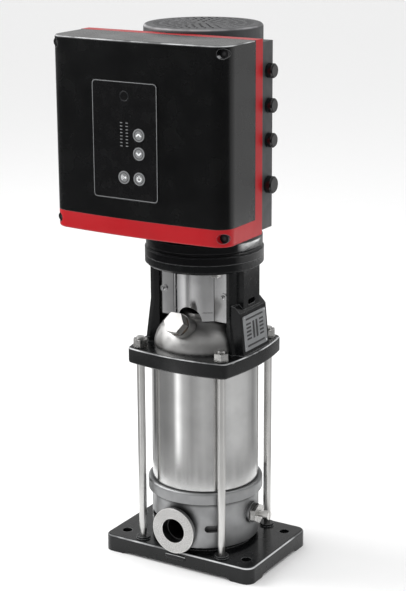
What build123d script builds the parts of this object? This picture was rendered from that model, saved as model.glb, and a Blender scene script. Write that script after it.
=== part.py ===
from build123d import *
import math
import os

# Vertical multistage pump with a motor and drive box on top.
# Millimetres. X runs along the base plate's long side, Y through the two ports (the suction port and
# the control panel face -Y), Z up. The origin is the middle of the base plate's underside.

# ------------------------------------------------------------------ clearances
RUN_GAP = 0.05  # running fit, on the radius
SLIP_GAP = 0.1  # a part that drops into its hole or bore, on the radius
SEAT_GAP = 0.3  # curved faces that lie beside each other

# ------------------------------------------------------------------ base plate
PLATE_LENGTH = 220.0
PLATE_WIDTH = 150.0
PLATE_THICK = 22.0
PLATE_CORNER_R = 12.0
PLATE_EDGE_R = 3.0
FOOT_SIZE = 34.0
ARCH_HEIGHT = 3.5
ARCH_SLOPE = 5.0  # run of the slope from each foot up to the arch
ARCH_R = 4.0
BOLT_SPACING_X = 180.0
BOLT_SPACING_Y = 100.0
BOLT_HOLE_R = 6.5
SEAT_HEIGHT = 6.0
SEAT_SETBACK = 6.0  # the round seat is this much smaller than the casting on it

# ------------------------------------------------------------------ stay bolts
ROD_SPACING = 118.0  # between bolt centres, the same both ways
ROD_R = 5.0
ROD_TIP_R = 3.8
ROD_TAPER = 12.0
ROD_DEPTH = 14.0  # into the base plate
ROD_BOSS_R = 9.0
ROD_BOSS_HEIGHT = 3.0
ROD_PROUD = 3.0  # above its nut
NUT_FLATS = 17.0
NUT_HEIGHT = 8.5
WASHER_R = 9.5
WASHER_THICK = 1.6

# ------------------------------------------------------------------ base casting
CAST_R = 69.0
CAST_WALL = 6.5
CAST_FLOOR = 6.0
CAST_HEIGHT = 76.0
RING_R = 74.0
RING_HEIGHT = 15.0
RING_EDGE_R = 3.0
PORT_HEIGHT = 52.0  # centre line above the base plate's underside
PORT_REACH = 80.0  # port face to the pump's axis
PORT_BORE_R = 16.0
PORT_MOUTH = 12.0  # machined length of the bore
PASSAGE_R = 15.0  # cast passage behind the mouth
PORT_FACE_R = 30.2
PORT_FACE_THICK = 5.0
PORT_NECK_R = 22.0
PORT_CONE = 7.0
PIPE_WALL = 4.0
RISER_R = 30.0  # inside of the suction riser
RISER_WALL = 4.0
SPIGOT_HEIGHT = 8.0
RECESS_LENGTH = 24.0
RECESS_HEIGHT = 9.5
RECESS_DEPTH = 9.0
RECESS_WALL = 3.0
RECESS_RISE = 2.0  # above the ports' centre line
RECESS_ANGLE = 40.0  # from the port line

# ------------------------------------------------------------------ drain plug and bypass spindle
DRAIN_HEIGHT = 64.0
DRAIN_BOSS_R = 14.0
DRAIN_BOSS_PROUD = 3.5
DRAIN_HEX = 23.0
DRAIN_HEX_LENGTH = 8.0
DRAIN_SHANK_R = 8.0
SPINDLE_R = 3.6
SPINDLE_PROUD = 7.0
SPINDLE_HEAD_R = 5.7
SPINDLE_HEAD_LENGTH = 7.5
SPINDLE_SLOT_WIDTH = 1.6
SPINDLE_SLOT_DEPTH = 1.6

# ------------------------------------------------------------------ sleeve and the stack in it
SLEEVE_R = 68.3
SLEEVE_WALL = 2.0
GASKET_THICK = 1.0
INLET_RISE = 6.0  # inlet chamber's top above the base casting
STAGE_COUNT = 4
STAGE_PITCH = 27.0
CHAMBER_R = 58.0
CHAMBER_WALL = 2.0
OUTLET_HEIGHT = 29.6
SPRING_HEIGHT = 6.0
SPRING_THICK = 1.5
IMPELLER_R = 46.0
IMPELLER_SHROUD = 2.0
IMPELLER_PASSAGE = 6.0
IMPELLER_GAP = 2.0  # between the front shroud and its chamber's floor
IMPELLER_BLADES = 6
BLADE_THICK = 2.0
BLADE_CURVE_R = 30.0
BLADE_CENTRE = (7.5, 25.5)  # of its arc, from the shaft's axis
BLADE_TIP_GAP = 0.5  # from the shrouds' rim
EYE_R = 20.0
HUB_R = 13.0
SHAFT_R = 8.0
SHAFT_NUT_FLATS = 24.0
SHAFT_NUT_HEIGHT = 8.0
BUSH_R = 14.0
BUSH_HEIGHT = 16.0
SPIDER_WIDTH = 4.0
SPIDER_HEIGHT = 8.0
SHAFT_END = 4.0  # below the bush

# ------------------------------------------------------------------ pump head and shaft seal
HEAD_FLANGE_THICK = 6.0
HEAD_R = 64.0
HEAD_WALL = 8.0
DOME_SHOULDER = 22.0  # where the dome starts, above the head's flange underside
DOME_HEIGHT = 57.0
DOME_TOP_R = 38.0
DOME_FULLNESS = 6.0  # how far the dome bulges past a straight cone
SEAL_BORE_R = 22.0
SEAL_NECK_R = 27.0
SEAL_NECK_HEIGHT = 6.0
SEAL_SEAT_HEIGHT = 8.0
SEAL_RING_R = 17.0
SEAL_RING_HEIGHT = 12.0
SEAL_COLLAR_STEP = 3.0

# ------------------------------------------------------------------ vent plug
VENT_TILT = 29.0  # degrees above the horizon
VENT_ROOT_Y = -44.0  # where its axis starts, inside the dome
VENT_ROOT_RISE = 47.5  # above the head's seat
VENT_BOSS_LENGTH = 20.0
VENT_BOSS_R = 14.5
VENT_BORE_R = 8.0
VENT_SHANK = 12.0
VENT_SHANK_GAP = 1.0
VENT_RING_R = 12.5
VENT_RING_THICK = 1.5
VENT_HEX = 24.5
VENT_HEX_LENGTH = 12.5

# ------------------------------------------------------------------ motor stool
STOOL_PLATE = 142.0  # across the square's corners' flats
STOOL_PLATE_THICK = 20.0
STOOL_BULGE = 8.5  # each side bows out by this much
STOOL_CORNER_R = 10.0
STOOL_EDGE_R = 2.5
STOOL_HEIGHT = 137.4  # plate underside to top face
LEG_R = 64.0
LEG_WALL = 7.0
LEG_HALF_ANGLE = 31.0
LEG_FLARE = 7.5
LEG_FLARE_HEIGHT = 52.0
RIB_WIDTH = 40.0
RIB_PROUD = 4.0
RIB_SLOT_LENGTH = 18.0
RIB_SLOT_HEIGHT = 7.0
RIB_SLOT_RISE = 63.5  # above the plate's deck
LUG_WIDTH = 22.0
LUG_DEPTH = 10.0
LUG_RISE = 40.0  # above the plate's deck
FLANGE_R = 74.5
FLANGE_THICK = 12.0
FLANGE_EDGE = 3.0
FLANGE_BORE_R = 40.0
PAD_WIDTH = 64.0
PAD_HEIGHT = 62.0
PAD_TOP_OUT = 70.0  # outer face of the pad at its top, from the axis
PAD_FOOT_OUT = 75.5
PAD_BEVEL = 8.0  # height of the slope along its top
RATING_WIDTH = 56.0
RATING_HEIGHT = 44.0
RATING_THICK = 0.8

# ------------------------------------------------------------------ coupling and its guards
COUPLING_R = 28.0
COUPLING_HEIGHT = 50.0
COUPLING_GAP = 2.0
COUPLING_DROP = 6.0  # below the stool's flange
CLAMP_SCREW_LENGTH = 39.0
GUARD_R = 39.0
GUARD_THICK = 1.5
GUARD_PLANE = 26.0  # outer face of the flat wings, from the axis
GUARD_WING = 50.0  # half width over the wings
GUARD_TOP_GAP = 2.0
GUARD_HEIGHT = 66.0
GUARD_NOTCH_R = 17.0
GUARD_CORNER_R = 8.0
GUARD_SCREW_R = 2.4
GUARD_SCREW_HEAD = 1.8
GUARD_SCREW_EDGE = 6.5  # from the wing's edge

# ------------------------------------------------------------------ motor
MOTOR_FLANGE_THICK = 9.0
MOTOR_SPIGOT = 4.0
MOTOR_NECK_R = 71.0
MOTOR_NECK_HEIGHT = 3.0
MOTOR_BELL_R = 73.0
MOTOR_BELL_HEIGHT = 20.0
BELL_EDGE = 2.0
BELL_SLOPE = 8.0
MOTOR_BOLT_CIRCLE_R = 57.5
MOTOR_BOLT_R = 4.0
MOTOR_BOLT_FLATS = 13.0
MOTOR_BOLT_HEAD = 5.5
MOTOR_BOLT_DEPTH = 10.0  # into the motor
MOTOR_R = 62.0
MOTOR_WALL = 6.0
MOTOR_HEIGHT = 168.0  # finned housing
FIN_COUNT = 28
FIN_REACH = 70.0
FIN_THICK = 2.2
FIN_END = 4.0  # bare housing beyond each end of the fins
BOSS_WIDTH = 60.0
BOSS_DROP = 20.0  # its top below the housing's
BOSS_RISE = 30.0  # its foot above the drive box's
STATOR_BORE_R = 36.0
STATOR_HEIGHT = 90.0
WINDING_HEIGHT = 18.0
ROTOR_GAP = 0.8
MOTOR_SHAFT_R = 9.5
SHAFT_HOLE_GAP = 3.0
BEARING_R = 20.0
BEARING_HEIGHT = 12.0
SHIELD_THICK = 8.0
BEARING_SEAT_WALL = 5.0
FAN_COVER_R = 72.5
FAN_COVER_HEIGHT = 84.0
FAN_COVER_WALL = 2.0
FAN_COVER_EDGE = 4.0
FAN_R = 58.0
FAN_BLADES = 7
FAN_HEIGHT = 26.0
FAN_GAP = 6.0  # above the end shield
FAN_HUB_WALL = 6.0
FAN_DISC = 2.0
SLOT_WIDTH = 3.2
SLOT_LENGTH = 8.0
SLOT_INNER_R = 13.0  # middle of the innermost ring of slots
SLOT_RING_PITCH = 11.0
SLOT_SPACING = 9.5  # round each ring

# ------------------------------------------------------------------ drive box
BOX_WIDTH = 240.0
BOX_LIFT = 18.0  # its underside above the motor housing's foot
BOX_HEIGHT = 228.5
BOX_FRONT = 150.0  # front face at its corners, from the axis
BOX_BOW = 6.0  # the front bows out by this much in the middle
BOX_CORNER_R = 20.0
BOX_EDGE_R = 2.5
BOX_WALL = 3.0
COVER_BACK = 85.0
FRAME_BACK = 68.0
HOUSING_BACK = 40.0
BAND_HEIGHT = 21.0
HOUSING_DROP = 3.5  # its top below the box's top
HOUSING_RISE = 6.0  # its underside above the box's underside
HOUSING_WALL = 4.0
HOUSING_EDGE_R = 6.0
SADDLE_GAP = 0.5
BOX_GASKET = 1.0
COVER_SCREW_R = 5.8
COVER_SCREW_INSET = 7.0
COVER_SCREW_DROP = 9.0
COVER_SCREW_DEPTH = 5.0
COVER_SCREW_LENGTH = 30.0
COVER_SCREW_HEAD = 3.0
COVER_POST_WALL = 2.0

# ------------------------------------------------------------------ control panel
PANEL_CENTRE_X = -11.5
PANEL_RISE = 113.2  # its middle above the box's underside
PANEL_WIDTH = 89.0
PANEL_HEIGHT = 137.5
PANEL_CORNER_R = 5.0
PANEL_THICK = 3.0
PANEL_PROUD = 0.4
PANEL_POST_R = 3.0
PANEL_POST_INSET = 8.0
BUTTON_R = 7.6
BUTTON_GAP = 0.15
BUTTON_PROUD = 0.8
BUTTON_TRAVEL = 0.7
BUTTON_BASE = 1.2
BUTTON_COLLAR = 1.2
BUTTON_PLACES = {
    "button_up": (19.5, 8.3),
    "button_down": (19.5, -13.2),
    "button_remote": (-1.5, -42.4),
    "button_power": (19.5, -42.4),
}
STATUS_RING_R = 6.0
STATUS_RING_WIDTH = 0.9
STATUS_RING_RISE = 52.0

# ------------------------------------------------------------------ cable entries and boards
PLUG_PLACES = ((191.0, 8.6), (151.0, 8.6), (110.5, 8.6), (58.0, 10.2))  # height above the box, radius
PLUG_PROUD = 8.5
PLUG_STEM = 0.6  # share of the head's radius
PLUG_EDGE = 1.5
BOARD_THICK = 1.6
BOARD_INSET = 3.0
CAPACITOR_COUNT = 4
CAPACITOR_R = 11.0
CAPACITOR_HEIGHT = 26.0
CAPACITOR_X = -70.0  # the first of the row
TERMINAL_COUNT = 5
TERMINAL_PITCH = 15.0
TERMINAL_SLOT = 10.0
TERMINAL_X = 20.0  # the block's near end
TERMINAL_HEIGHT = 16.0
TERMINAL_DEPTH = 18.0

# ------------------------------------------------------------------ levels that follow
CAST_BOTTOM = PLATE_THICK + SEAT_HEIGHT
CAST_TOP = CAST_BOTTOM + CAST_HEIGHT
SLEEVE_BORE = SLEEVE_R - SLEEVE_WALL
STACK_BOTTOM = CAST_TOP + INLET_RISE
STACK_TOP = STACK_BOTTOM + STAGE_COUNT * STAGE_PITCH
OUTLET_TOP = STACK_TOP + OUTLET_HEIGHT
HEAD_BOTTOM = OUTLET_TOP + SPRING_HEIGHT
HEAD_SEAT = HEAD_BOTTOM + SPIGOT_HEIGHT + GASKET_THICK
STOOL_TOP = HEAD_SEAT + STOOL_HEIGHT
PLATE_DECK = HEAD_SEAT + STOOL_PLATE_THICK
DOME_TOP = HEAD_SEAT + DOME_HEIGHT
NECK_TOP = DOME_TOP + SEAL_NECK_HEIGHT
FLANGE_UNDER = STOOL_TOP - FLANGE_THICK
VENT_ROOT_Z = HEAD_SEAT + VENT_ROOT_RISE
BELL_BOTTOM = STOOL_TOP + MOTOR_FLANGE_THICK + MOTOR_NECK_HEIGHT
MOTOR_BOTTOM = BELL_BOTTOM + MOTOR_BELL_HEIGHT
MOTOR_TOP = MOTOR_BOTTOM + MOTOR_HEIGHT
SHIELD_TOP = MOTOR_TOP + SHIELD_THICK
FAN_COVER_TOP = MOTOR_TOP + FAN_COVER_HEIGHT
FAN_FOOT = SHIELD_TOP + FAN_GAP
BOX_BOTTOM = MOTOR_BOTTOM + BOX_LIFT
BOX_TOP = BOX_BOTTOM + BOX_HEIGHT
PANEL_CENTRE_Z = BOX_BOTTOM + PANEL_RISE
COUPLING_TOP = FLANGE_UNDER - COUPLING_DROP
COUPLING_BOTTOM = COUPLING_TOP - COUPLING_HEIGHT
BUSH_BOTTOM = CAST_TOP - RING_HEIGHT - BUSH_HEIGHT
ROD_PLACES = [(x * ROD_SPACING / 2, y * ROD_SPACING / 2) for x in (-1, 1) for y in (-1, 1)]

BASE = (Align.CENTER, Align.CENTER, Align.MIN)


# ------------------------------------------------------------------ shared shapes
def drum(radius, bottom, top):
    """Upright cylinder between two levels."""
    return Pos(0, 0, bottom) * Cylinder(radius, top - bottom, align=BASE)


def tube(outer, inner, bottom, top):
    """Upright tube between two levels."""
    return drum(outer, bottom, top) - drum(inner, bottom, top)


def block(x, y, z):
    """Box given by its (low, high) limits along X, Y and Z."""
    size = (x[1] - x[0], y[1] - y[0], z[1] - z[0])
    return Pos(x[0], y[0], z[0]) * Box(*size, align=(Align.MIN, Align.MIN, Align.MIN))


def turned(*outline):
    """Solid of revolution about Z through (radius, height) corners."""
    return revolve(Plane.XZ * make_face(Polyline(*outline, close=True)), Axis.Z)


def hexagon(flats, height):
    """Hexagonal prism standing on the XY plane, given across its flats."""
    return extrude(RegularPolygon(flats / 2, 6, major_radius=False), height)


def wedge(half_angle, bottom, top):
    """Sector about +X, wide enough to cut any ring of the pump."""
    reach = PLATE_LENGTH
    side = reach * math.tan(math.radians(half_angle))
    face = make_face(Polyline((0, 0), (reach, -side), (reach, side), close=True))
    return Pos(0, 0, bottom) * extrude(face, top - bottom)


def both_ways(solid):
    """The solid and its copy turned half a turn about Z."""
    return solid + Rot(0, 0, 180) * solid


def at_rods(solid, level):
    """One copy of the solid on each stay bolt's line, from the given level."""
    return Part() + [Pos(x, y, level) * solid for x, y in ROD_PLACES]


# ------------------------------------------------------------------ base plate and stay bolts
def arches():
    """Cross-shaped relief that leaves the four corner feet, with sloping and rounded sides."""
    past = 4 * ARCH_SLOPE
    along = Rectangle(PLATE_LENGTH - 2 * FOOT_SIZE + 2 * ARCH_SLOPE, PLATE_WIDTH + past)
    across = Rectangle(PLATE_LENGTH + past, PLATE_WIDTH - 2 * FOOT_SIZE + 2 * ARCH_SLOPE)
    slope = math.degrees(math.atan2(ARCH_SLOPE, ARCH_HEIGHT))
    relief = extrude(along + across, ARCH_HEIGHT, taper=slope)
    return fillet(relief.faces().sort_by(Axis.Z)[-1].edges(), ARCH_R)


def base_plate():
    slab = extrude(RectangleRounded(PLATE_LENGTH, PLATE_WIDTH, PLATE_CORNER_R), PLATE_THICK)
    slab = fillet(slab.faces().sort_by(Axis.Z)[-1].edges(), PLATE_EDGE_R)
    slab -= arches()
    slab += drum(CAST_R - SEAT_SETBACK, PLATE_THICK - PLATE_EDGE_R, CAST_BOTTOM)
    boss = Cylinder(ROD_BOSS_R, ROD_BOSS_HEIGHT + PLATE_EDGE_R, align=BASE)
    slab += at_rods(boss, PLATE_THICK - PLATE_EDGE_R)
    rod_hole = Cylinder(ROD_TIP_R + SLIP_GAP, ROD_DEPTH + ROD_BOSS_HEIGHT, align=BASE)
    slab -= at_rods(rod_hole, PLATE_THICK - ROD_DEPTH)
    for place in GridLocations(BOLT_SPACING_X, BOLT_SPACING_Y, 2, 2):
        slab -= place * Cylinder(BOLT_HOLE_R, 3 * PLATE_THICK)
    return slab


def stay_bolts():
    foot = PLATE_THICK - ROD_DEPTH
    shoulder = PLATE_THICK + ROD_BOSS_HEIGHT
    top = PLATE_DECK + WASHER_THICK + NUT_HEIGHT + ROD_PROUD
    rod = turned(
        (0, foot),
        (ROD_TIP_R, foot),
        (ROD_TIP_R, shoulder),
        (ROD_R, shoulder + ROD_TAPER),
        (ROD_R, top),
        (0, top),
    )
    return at_rods(rod, 0)


def stay_bolt_washers():
    return at_rods(tube(WASHER_R, ROD_R + SLIP_GAP, 0, WASHER_THICK), PLATE_DECK)


def stay_bolt_nuts():
    nut = hexagon(NUT_FLATS, NUT_HEIGHT) - Cylinder(ROD_R + RUN_GAP, NUT_HEIGHT, align=BASE)
    return at_rods(nut, PLATE_DECK + WASHER_THICK)


# ------------------------------------------------------------------ base casting, drain plug
def port(direction):
    """Port stub on the -Y or +Y side, from the casting's middle wall to the port face."""
    lie = Pos(0, 0, PORT_HEIGHT) * Rot(90 * direction, 0, 0)
    cone_end = PORT_REACH - PORT_FACE_THICK
    return lie * turned(
        (0, CAST_R - CAST_WALL - 1),
        (PORT_NECK_R, CAST_R - CAST_WALL - 1),
        (PORT_NECK_R, cone_end - PORT_CONE),
        (PORT_FACE_R, cone_end),
        (PORT_FACE_R, PORT_REACH),
        (0, PORT_REACH),
    )


def drain_line():
    """Location of the drain plug: the casting's +X side, with local Z pointing out."""
    return Pos(CAST_R, 0, DRAIN_HEIGHT) * Rot(0, 90, 0)


def base_casting():
    inner = CAST_R - CAST_WALL
    floor = CAST_BOTTOM + CAST_FLOOR
    ring_under = CAST_TOP - RING_HEIGHT
    shell = drum(CAST_R, CAST_BOTTOM, CAST_TOP)
    ring = drum(RING_R, ring_under, CAST_TOP)
    shell += fillet(ring.edges().sort_by(Axis.Z)[-1], RING_EDGE_R)
    shell += tube(SLEEVE_BORE - SEAT_GAP, inner, CAST_TOP, CAST_TOP + SPIGOT_HEIGHT)
    shell += port(1) + port(-1)
    shell -= drum(inner, floor, CAST_TOP)
    riser_top = CAST_TOP - RING_HEIGHT
    riser = drum(RISER_R + RISER_WALL, floor, riser_top)
    pipe = Pos(0, 0, PORT_HEIGHT) * Rot(90, 0, 0)
    riser += pipe * Cylinder(PASSAGE_R + PIPE_WALL, CAST_R, align=BASE) & drum(inner, floor, riser_top)
    shell += riser - drum(RISER_R, floor, riser_top)
    shell -= pipe * Cylinder(PASSAGE_R, PORT_REACH, align=BASE)
    outlet = Pos(0, RISER_R + RISER_WALL + 1, PORT_HEIGHT) * Rot(-90, 0, 0)
    shell -= outlet * Cylinder(PASSAGE_R, PORT_REACH, align=BASE)
    mouth = Pos(0, PORT_MOUTH - PORT_REACH, PORT_HEIGHT) * Rot(90, 0, 0)
    shell -= both_ways(mouth * Cylinder(PORT_BORE_R, 2 * PORT_MOUTH, align=BASE))
    boss = Pos(0, 0, -CAST_WALL / 2) * Cylinder(DRAIN_BOSS_R, CAST_WALL / 2 + DRAIN_BOSS_PROUD, align=BASE)
    shell += drain_line() * boss
    shell -= drain_line() * Cylinder(DRAIN_SHANK_R + RUN_GAP, 4 * CAST_WALL)
    for angle in (-90 + RECESS_ANGLE, -90 - RECESS_ANGLE, 90 + RECESS_ANGLE, 90 - RECESS_ANGLE):
        side = Rot(0, 0, angle) * Pos(CAST_R, 0, PORT_HEIGHT + RECESS_RISE)
        shell += side * recess(RECESS_DEPTH + RECESS_WALL, RECESS_WALL) & drum(inner + 1, floor, ring_under)
        shell -= side * recess(RECESS_DEPTH, 0)
    return shell


def recess(depth, margin):
    """Oblong pocket that runs inwards from the casting's side, or its backing when given a margin."""
    outline = SlotOverall(RECESS_LENGTH + 2 * margin, RECESS_HEIGHT + 2 * margin)
    return Pos(-depth, 0, 0) * extrude(Plane.YZ * outline, depth + CAST_WALL)


def drain_plug():
    """Hexagon plug in the drain boss, bored for the spindle that passes through it."""
    under_head = DRAIN_BOSS_PROUD + SEAT_GAP
    plug = Pos(0, 0, under_head) * hexagon(DRAIN_HEX, DRAIN_HEX_LENGTH)
    plug += Pos(0, 0, -CAST_WALL) * Cylinder(DRAIN_SHANK_R, CAST_WALL + under_head, align=BASE)
    plug -= Cylinder(SPINDLE_R + RUN_GAP, 8 * CAST_WALL)
    return drain_line() * plug


def bypass_spindle():
    head_foot = DRAIN_BOSS_PROUD + SEAT_GAP + DRAIN_HEX_LENGTH + SPINDLE_PROUD
    spindle = Pos(0, 0, -CAST_WALL) * Cylinder(SPINDLE_R, CAST_WALL + head_foot, align=BASE)
    head = Pos(0, 0, head_foot) * Cylinder(SPINDLE_HEAD_R, SPINDLE_HEAD_LENGTH, align=BASE)
    slot = Box(3 * SPINDLE_HEAD_R, SPINDLE_SLOT_WIDTH, 2 * SPINDLE_SLOT_DEPTH)
    slot = Pos(0, 0, head_foot + SPINDLE_HEAD_LENGTH) * slot
    return drain_line() * (spindle + head - slot)


# ------------------------------------------------------------------ sleeve and hydraulic stack
def outer_sleeve():
    return tube(SLEEVE_R, SLEEVE_BORE, CAST_TOP + GASKET_THICK, HEAD_SEAT - GASKET_THICK)


def sleeve_gaskets():
    low = tube(SLEEVE_R, SLEEVE_BORE, CAST_TOP, CAST_TOP + GASKET_THICK)
    high = tube(SLEEVE_R, SLEEVE_BORE, HEAD_SEAT - GASKET_THICK, HEAD_SEAT)
    return low + high


def inlet_chamber():
    """Bell that leads the water from the suction riser up into the first stage."""
    foot = CAST_TOP - RING_HEIGHT
    outer = RISER_R + RISER_WALL
    return turned(
        (RISER_R, foot),
        (outer, foot),
        (CHAMBER_R, STACK_BOTTOM - CHAMBER_WALL),
        (CHAMBER_R, STACK_BOTTOM),
        (EYE_R + SLIP_GAP + CHAMBER_WALL, STACK_BOTTOM),
        (RISER_R, STACK_BOTTOM - CHAMBER_WALL),
    )


def impeller_foot(stage):
    """Level of the underside of one stage's impeller shroud."""
    return STACK_BOTTOM + stage * STAGE_PITCH + CHAMBER_WALL + IMPELLER_GAP


def stage_chambers():
    """Cups that stack on each other: a wall, and a floor with the eye of the next impeller through it."""
    stack = []
    for stage in range(STAGE_COUNT):
        floor = STACK_BOTTOM + stage * STAGE_PITCH
        cup = drum(CHAMBER_R, floor, floor + STAGE_PITCH)
        cup -= drum(CHAMBER_R - CHAMBER_WALL, floor + CHAMBER_WALL, floor + STAGE_PITCH)
        cup -= drum(EYE_R + SLIP_GAP, floor, floor + CHAMBER_WALL)
        stack.append(cup)
    return Compound(children=stack)


def blade():
    """Backward-curved blade: the stretch of a round band that lies between the eye and the rim."""
    half = BLADE_THICK / 2
    band = Pos(*BLADE_CENTRE) * (Circle(BLADE_CURVE_R + half) - Circle(BLADE_CURVE_R - half))
    reach = Circle(IMPELLER_R - BLADE_TIP_GAP) - Circle(EYE_R + half)
    stretch = (band & reach).faces().sort_by(Axis.X)[-1]
    return extrude(stretch, IMPELLER_PASSAGE)


def impellers():
    """Each has a plain back shroud on a hub, a front shroud with the eye, and curved blades between."""
    stack = Part()
    passage = IMPELLER_SHROUD
    back = passage + IMPELLER_PASSAGE
    top = back + IMPELLER_SHROUD
    blades = [Pos(0, 0, passage) * place * blade() for place in PolarLocations(0, IMPELLER_BLADES)]
    wheel = tube(IMPELLER_R, EYE_R - BLADE_THICK, 0, passage) + drum(IMPELLER_R, back, top)
    wheel += tube(EYE_R, EYE_R - BLADE_THICK, -IMPELLER_SHROUD - CHAMBER_WALL, 0)
    wheel += blades
    wheel += drum(HUB_R, 0, top)
    wheel -= drum(SHAFT_R, 0, top)
    for stage in range(STAGE_COUNT):
        stack += Pos(0, 0, impeller_foot(stage)) * wheel
    return stack


def impeller_spacers():
    """Sleeves on the shaft that keep the impellers one stage apart."""
    hub = 2 * IMPELLER_SHROUD + IMPELLER_PASSAGE
    stack = Part()
    for stage in range(STAGE_COUNT - 1):
        stack += tube(HUB_R, SHAFT_R, impeller_foot(stage) + hub, impeller_foot(stage + 1))
    return stack


def outlet_chamber():
    """Top chamber, whose windows let the water out to the inside of the sleeve."""
    ring = tube(CHAMBER_R, CHAMBER_R - CHAMBER_WALL, STACK_TOP, OUTLET_TOP)
    window = Box(3 * CHAMBER_R, OUTLET_HEIGHT / 2, OUTLET_HEIGHT / 2)
    for turn in (0, 45, 90, 135):
        ring -= Pos(0, 0, (STACK_TOP + OUTLET_TOP) / 2) * Rot(0, 0, turn) * window
    return ring


def stack_spring():
    """Dished washer that presses the stack down from the pump head."""
    inner = CHAMBER_R - 2 * CHAMBER_WALL
    return turned(
        (CHAMBER_R, OUTLET_TOP),
        (CHAMBER_R, OUTLET_TOP + SPRING_THICK),
        (inner, HEAD_BOTTOM),
        (inner, HEAD_BOTTOM - SPRING_THICK),
    )


def bearing_bush():
    """Bush for the shaft's lower end, carried on a spider in the suction riser."""
    top = BUSH_BOTTOM + BUSH_HEIGHT
    bush = drum(BUSH_R, BUSH_BOTTOM, top)
    arm = Box(2 * RISER_R, SPIDER_WIDTH, SPIDER_HEIGHT)
    for turn in (0, 60, 120):
        bush += Pos(0, 0, BUSH_BOTTOM + BUSH_HEIGHT / 2) * Rot(0, 0, turn) * arm
    bush &= drum(RISER_R - SLIP_GAP, BUSH_BOTTOM, top)
    return bush - drum(SHAFT_R + RUN_GAP, BUSH_BOTTOM, top)


def pump_shaft():
    return drum(SHAFT_R, BUSH_BOTTOM - SHAFT_END, (COUPLING_BOTTOM + COUPLING_TOP) / 2 - COUPLING_GAP)


def impeller_nut():
    hub_foot = impeller_foot(0)
    nut = Pos(0, 0, hub_foot - SHAFT_NUT_HEIGHT) * hexagon(SHAFT_NUT_FLATS, SHAFT_NUT_HEIGHT)
    return nut - drum(SHAFT_R, hub_foot - SHAFT_NUT_HEIGHT, hub_foot)


# ------------------------------------------------------------------ pump head, shaft seal, vent plug
def vent_line(distance):
    """Location on the vent plug's axis, with local Z pointing out of the dome."""
    start = Pos(0, VENT_ROOT_Y, VENT_ROOT_Z) * Rot(90 - VENT_TILT, 0, 0)
    return start * Pos(0, 0, distance)


def dome_arc(gap):
    """Curve of the dome from its shoulder to its flat top, grown outwards by a gap."""
    shoulder = HEAD_SEAT + DOME_SHOULDER
    middle_r = (HEAD_R + DOME_TOP_R) / 2 + DOME_FULLNESS
    middle_z = (shoulder + DOME_TOP) / 2 + DOME_FULLNESS / 2
    return ThreePointArc(
        (HEAD_R + gap, shoulder),
        (middle_r + gap, middle_z + gap),
        (DOME_TOP_R, DOME_TOP + gap),
    )


def head_clearance():
    """Room inside the stool for the head's flange, shoulder and dome."""
    outline = [
        Polyline(
            (0, DOME_TOP + SEAT_GAP),
            (0, HEAD_SEAT - 1),
            (SLEEVE_R + SEAT_GAP, HEAD_SEAT - 1),
            (SLEEVE_R + SEAT_GAP, HEAD_SEAT + HEAD_FLANGE_THICK),
            (HEAD_R + SEAT_GAP, HEAD_SEAT + HEAD_FLANGE_THICK),
            (HEAD_R + SEAT_GAP, HEAD_SEAT + DOME_SHOULDER),
        ),
        dome_arc(SEAT_GAP),
        Line((DOME_TOP_R, DOME_TOP + SEAT_GAP), (0, DOME_TOP + SEAT_GAP)),
    ]
    edges = [edge for run in outline for edge in run.edges()]
    return revolve(Plane.XZ * make_face(edges), Axis.Z)


def dome_face():
    """Half section of the pump head: flange, shoulder, rounded dome and neck, hollow below."""
    shoulder = HEAD_SEAT + DOME_SHOULDER
    flange_top = HEAD_SEAT + HEAD_FLANGE_THICK
    bore = SLEEVE_BORE - SEAT_GAP
    ceiling = DOME_TOP - HEAD_WALL
    outside = [
        Polyline(
            (CHAMBER_R - 2 * CHAMBER_WALL, HEAD_BOTTOM),
            (bore, HEAD_BOTTOM),
            (bore, HEAD_SEAT),
            (SLEEVE_R, HEAD_SEAT),
            (SLEEVE_R, flange_top),
            (HEAD_R, flange_top),
            (HEAD_R, shoulder),
        ),
        dome_arc(0),
        Polyline(
            (DOME_TOP_R, DOME_TOP),
            (SEAL_NECK_R, DOME_TOP),
            (SEAL_NECK_R, NECK_TOP),
            (SEAL_BORE_R, NECK_TOP),
            (SEAL_BORE_R, ceiling - HEAD_WALL),
            (CHAMBER_R - 2 * CHAMBER_WALL, shoulder - HEAD_WALL),
            (CHAMBER_R - 2 * CHAMBER_WALL, HEAD_BOTTOM),
        ),
    ]
    edges = [edge for run in outside for edge in run.edges()]
    return make_face(edges)


def pump_head():
    dome = revolve(Plane.XZ * dome_face(), Axis.Z)
    boss = vent_line(-VENT_SHANK) * Cylinder(VENT_BOSS_R, VENT_BOSS_LENGTH + VENT_SHANK, align=BASE)
    dome += boss & drum(2 * HEAD_R, HEAD_SEAT + DOME_SHOULDER, NECK_TOP + HEAD_R)
    bore = vent_line(VENT_BOSS_LENGTH - VENT_SHANK)
    dome -= bore * Cylinder(VENT_BORE_R + SLIP_GAP / 2, 2 * VENT_SHANK, align=BASE)
    return dome - drum(SEAL_BORE_R, HEAD_SEAT, NECK_TOP)


def vent_ring():
    inner = Cylinder(VENT_BORE_R + SLIP_GAP / 2, VENT_RING_THICK, align=BASE)
    ring = Cylinder(VENT_RING_R, VENT_RING_THICK, align=BASE) - inner
    return vent_line(VENT_BOSS_LENGTH + SLIP_GAP) * ring


def vent_plug():
    gap = VENT_RING_THICK + 2 * SLIP_GAP
    reach = VENT_SHANK - VENT_SHANK_GAP
    plug = Pos(0, 0, gap) * hexagon(VENT_HEX, VENT_HEX_LENGTH)
    plug += Pos(0, 0, -reach) * Cylinder(VENT_BORE_R, reach + gap, align=BASE)
    return vent_line(VENT_BOSS_LENGTH) * plug


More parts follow.
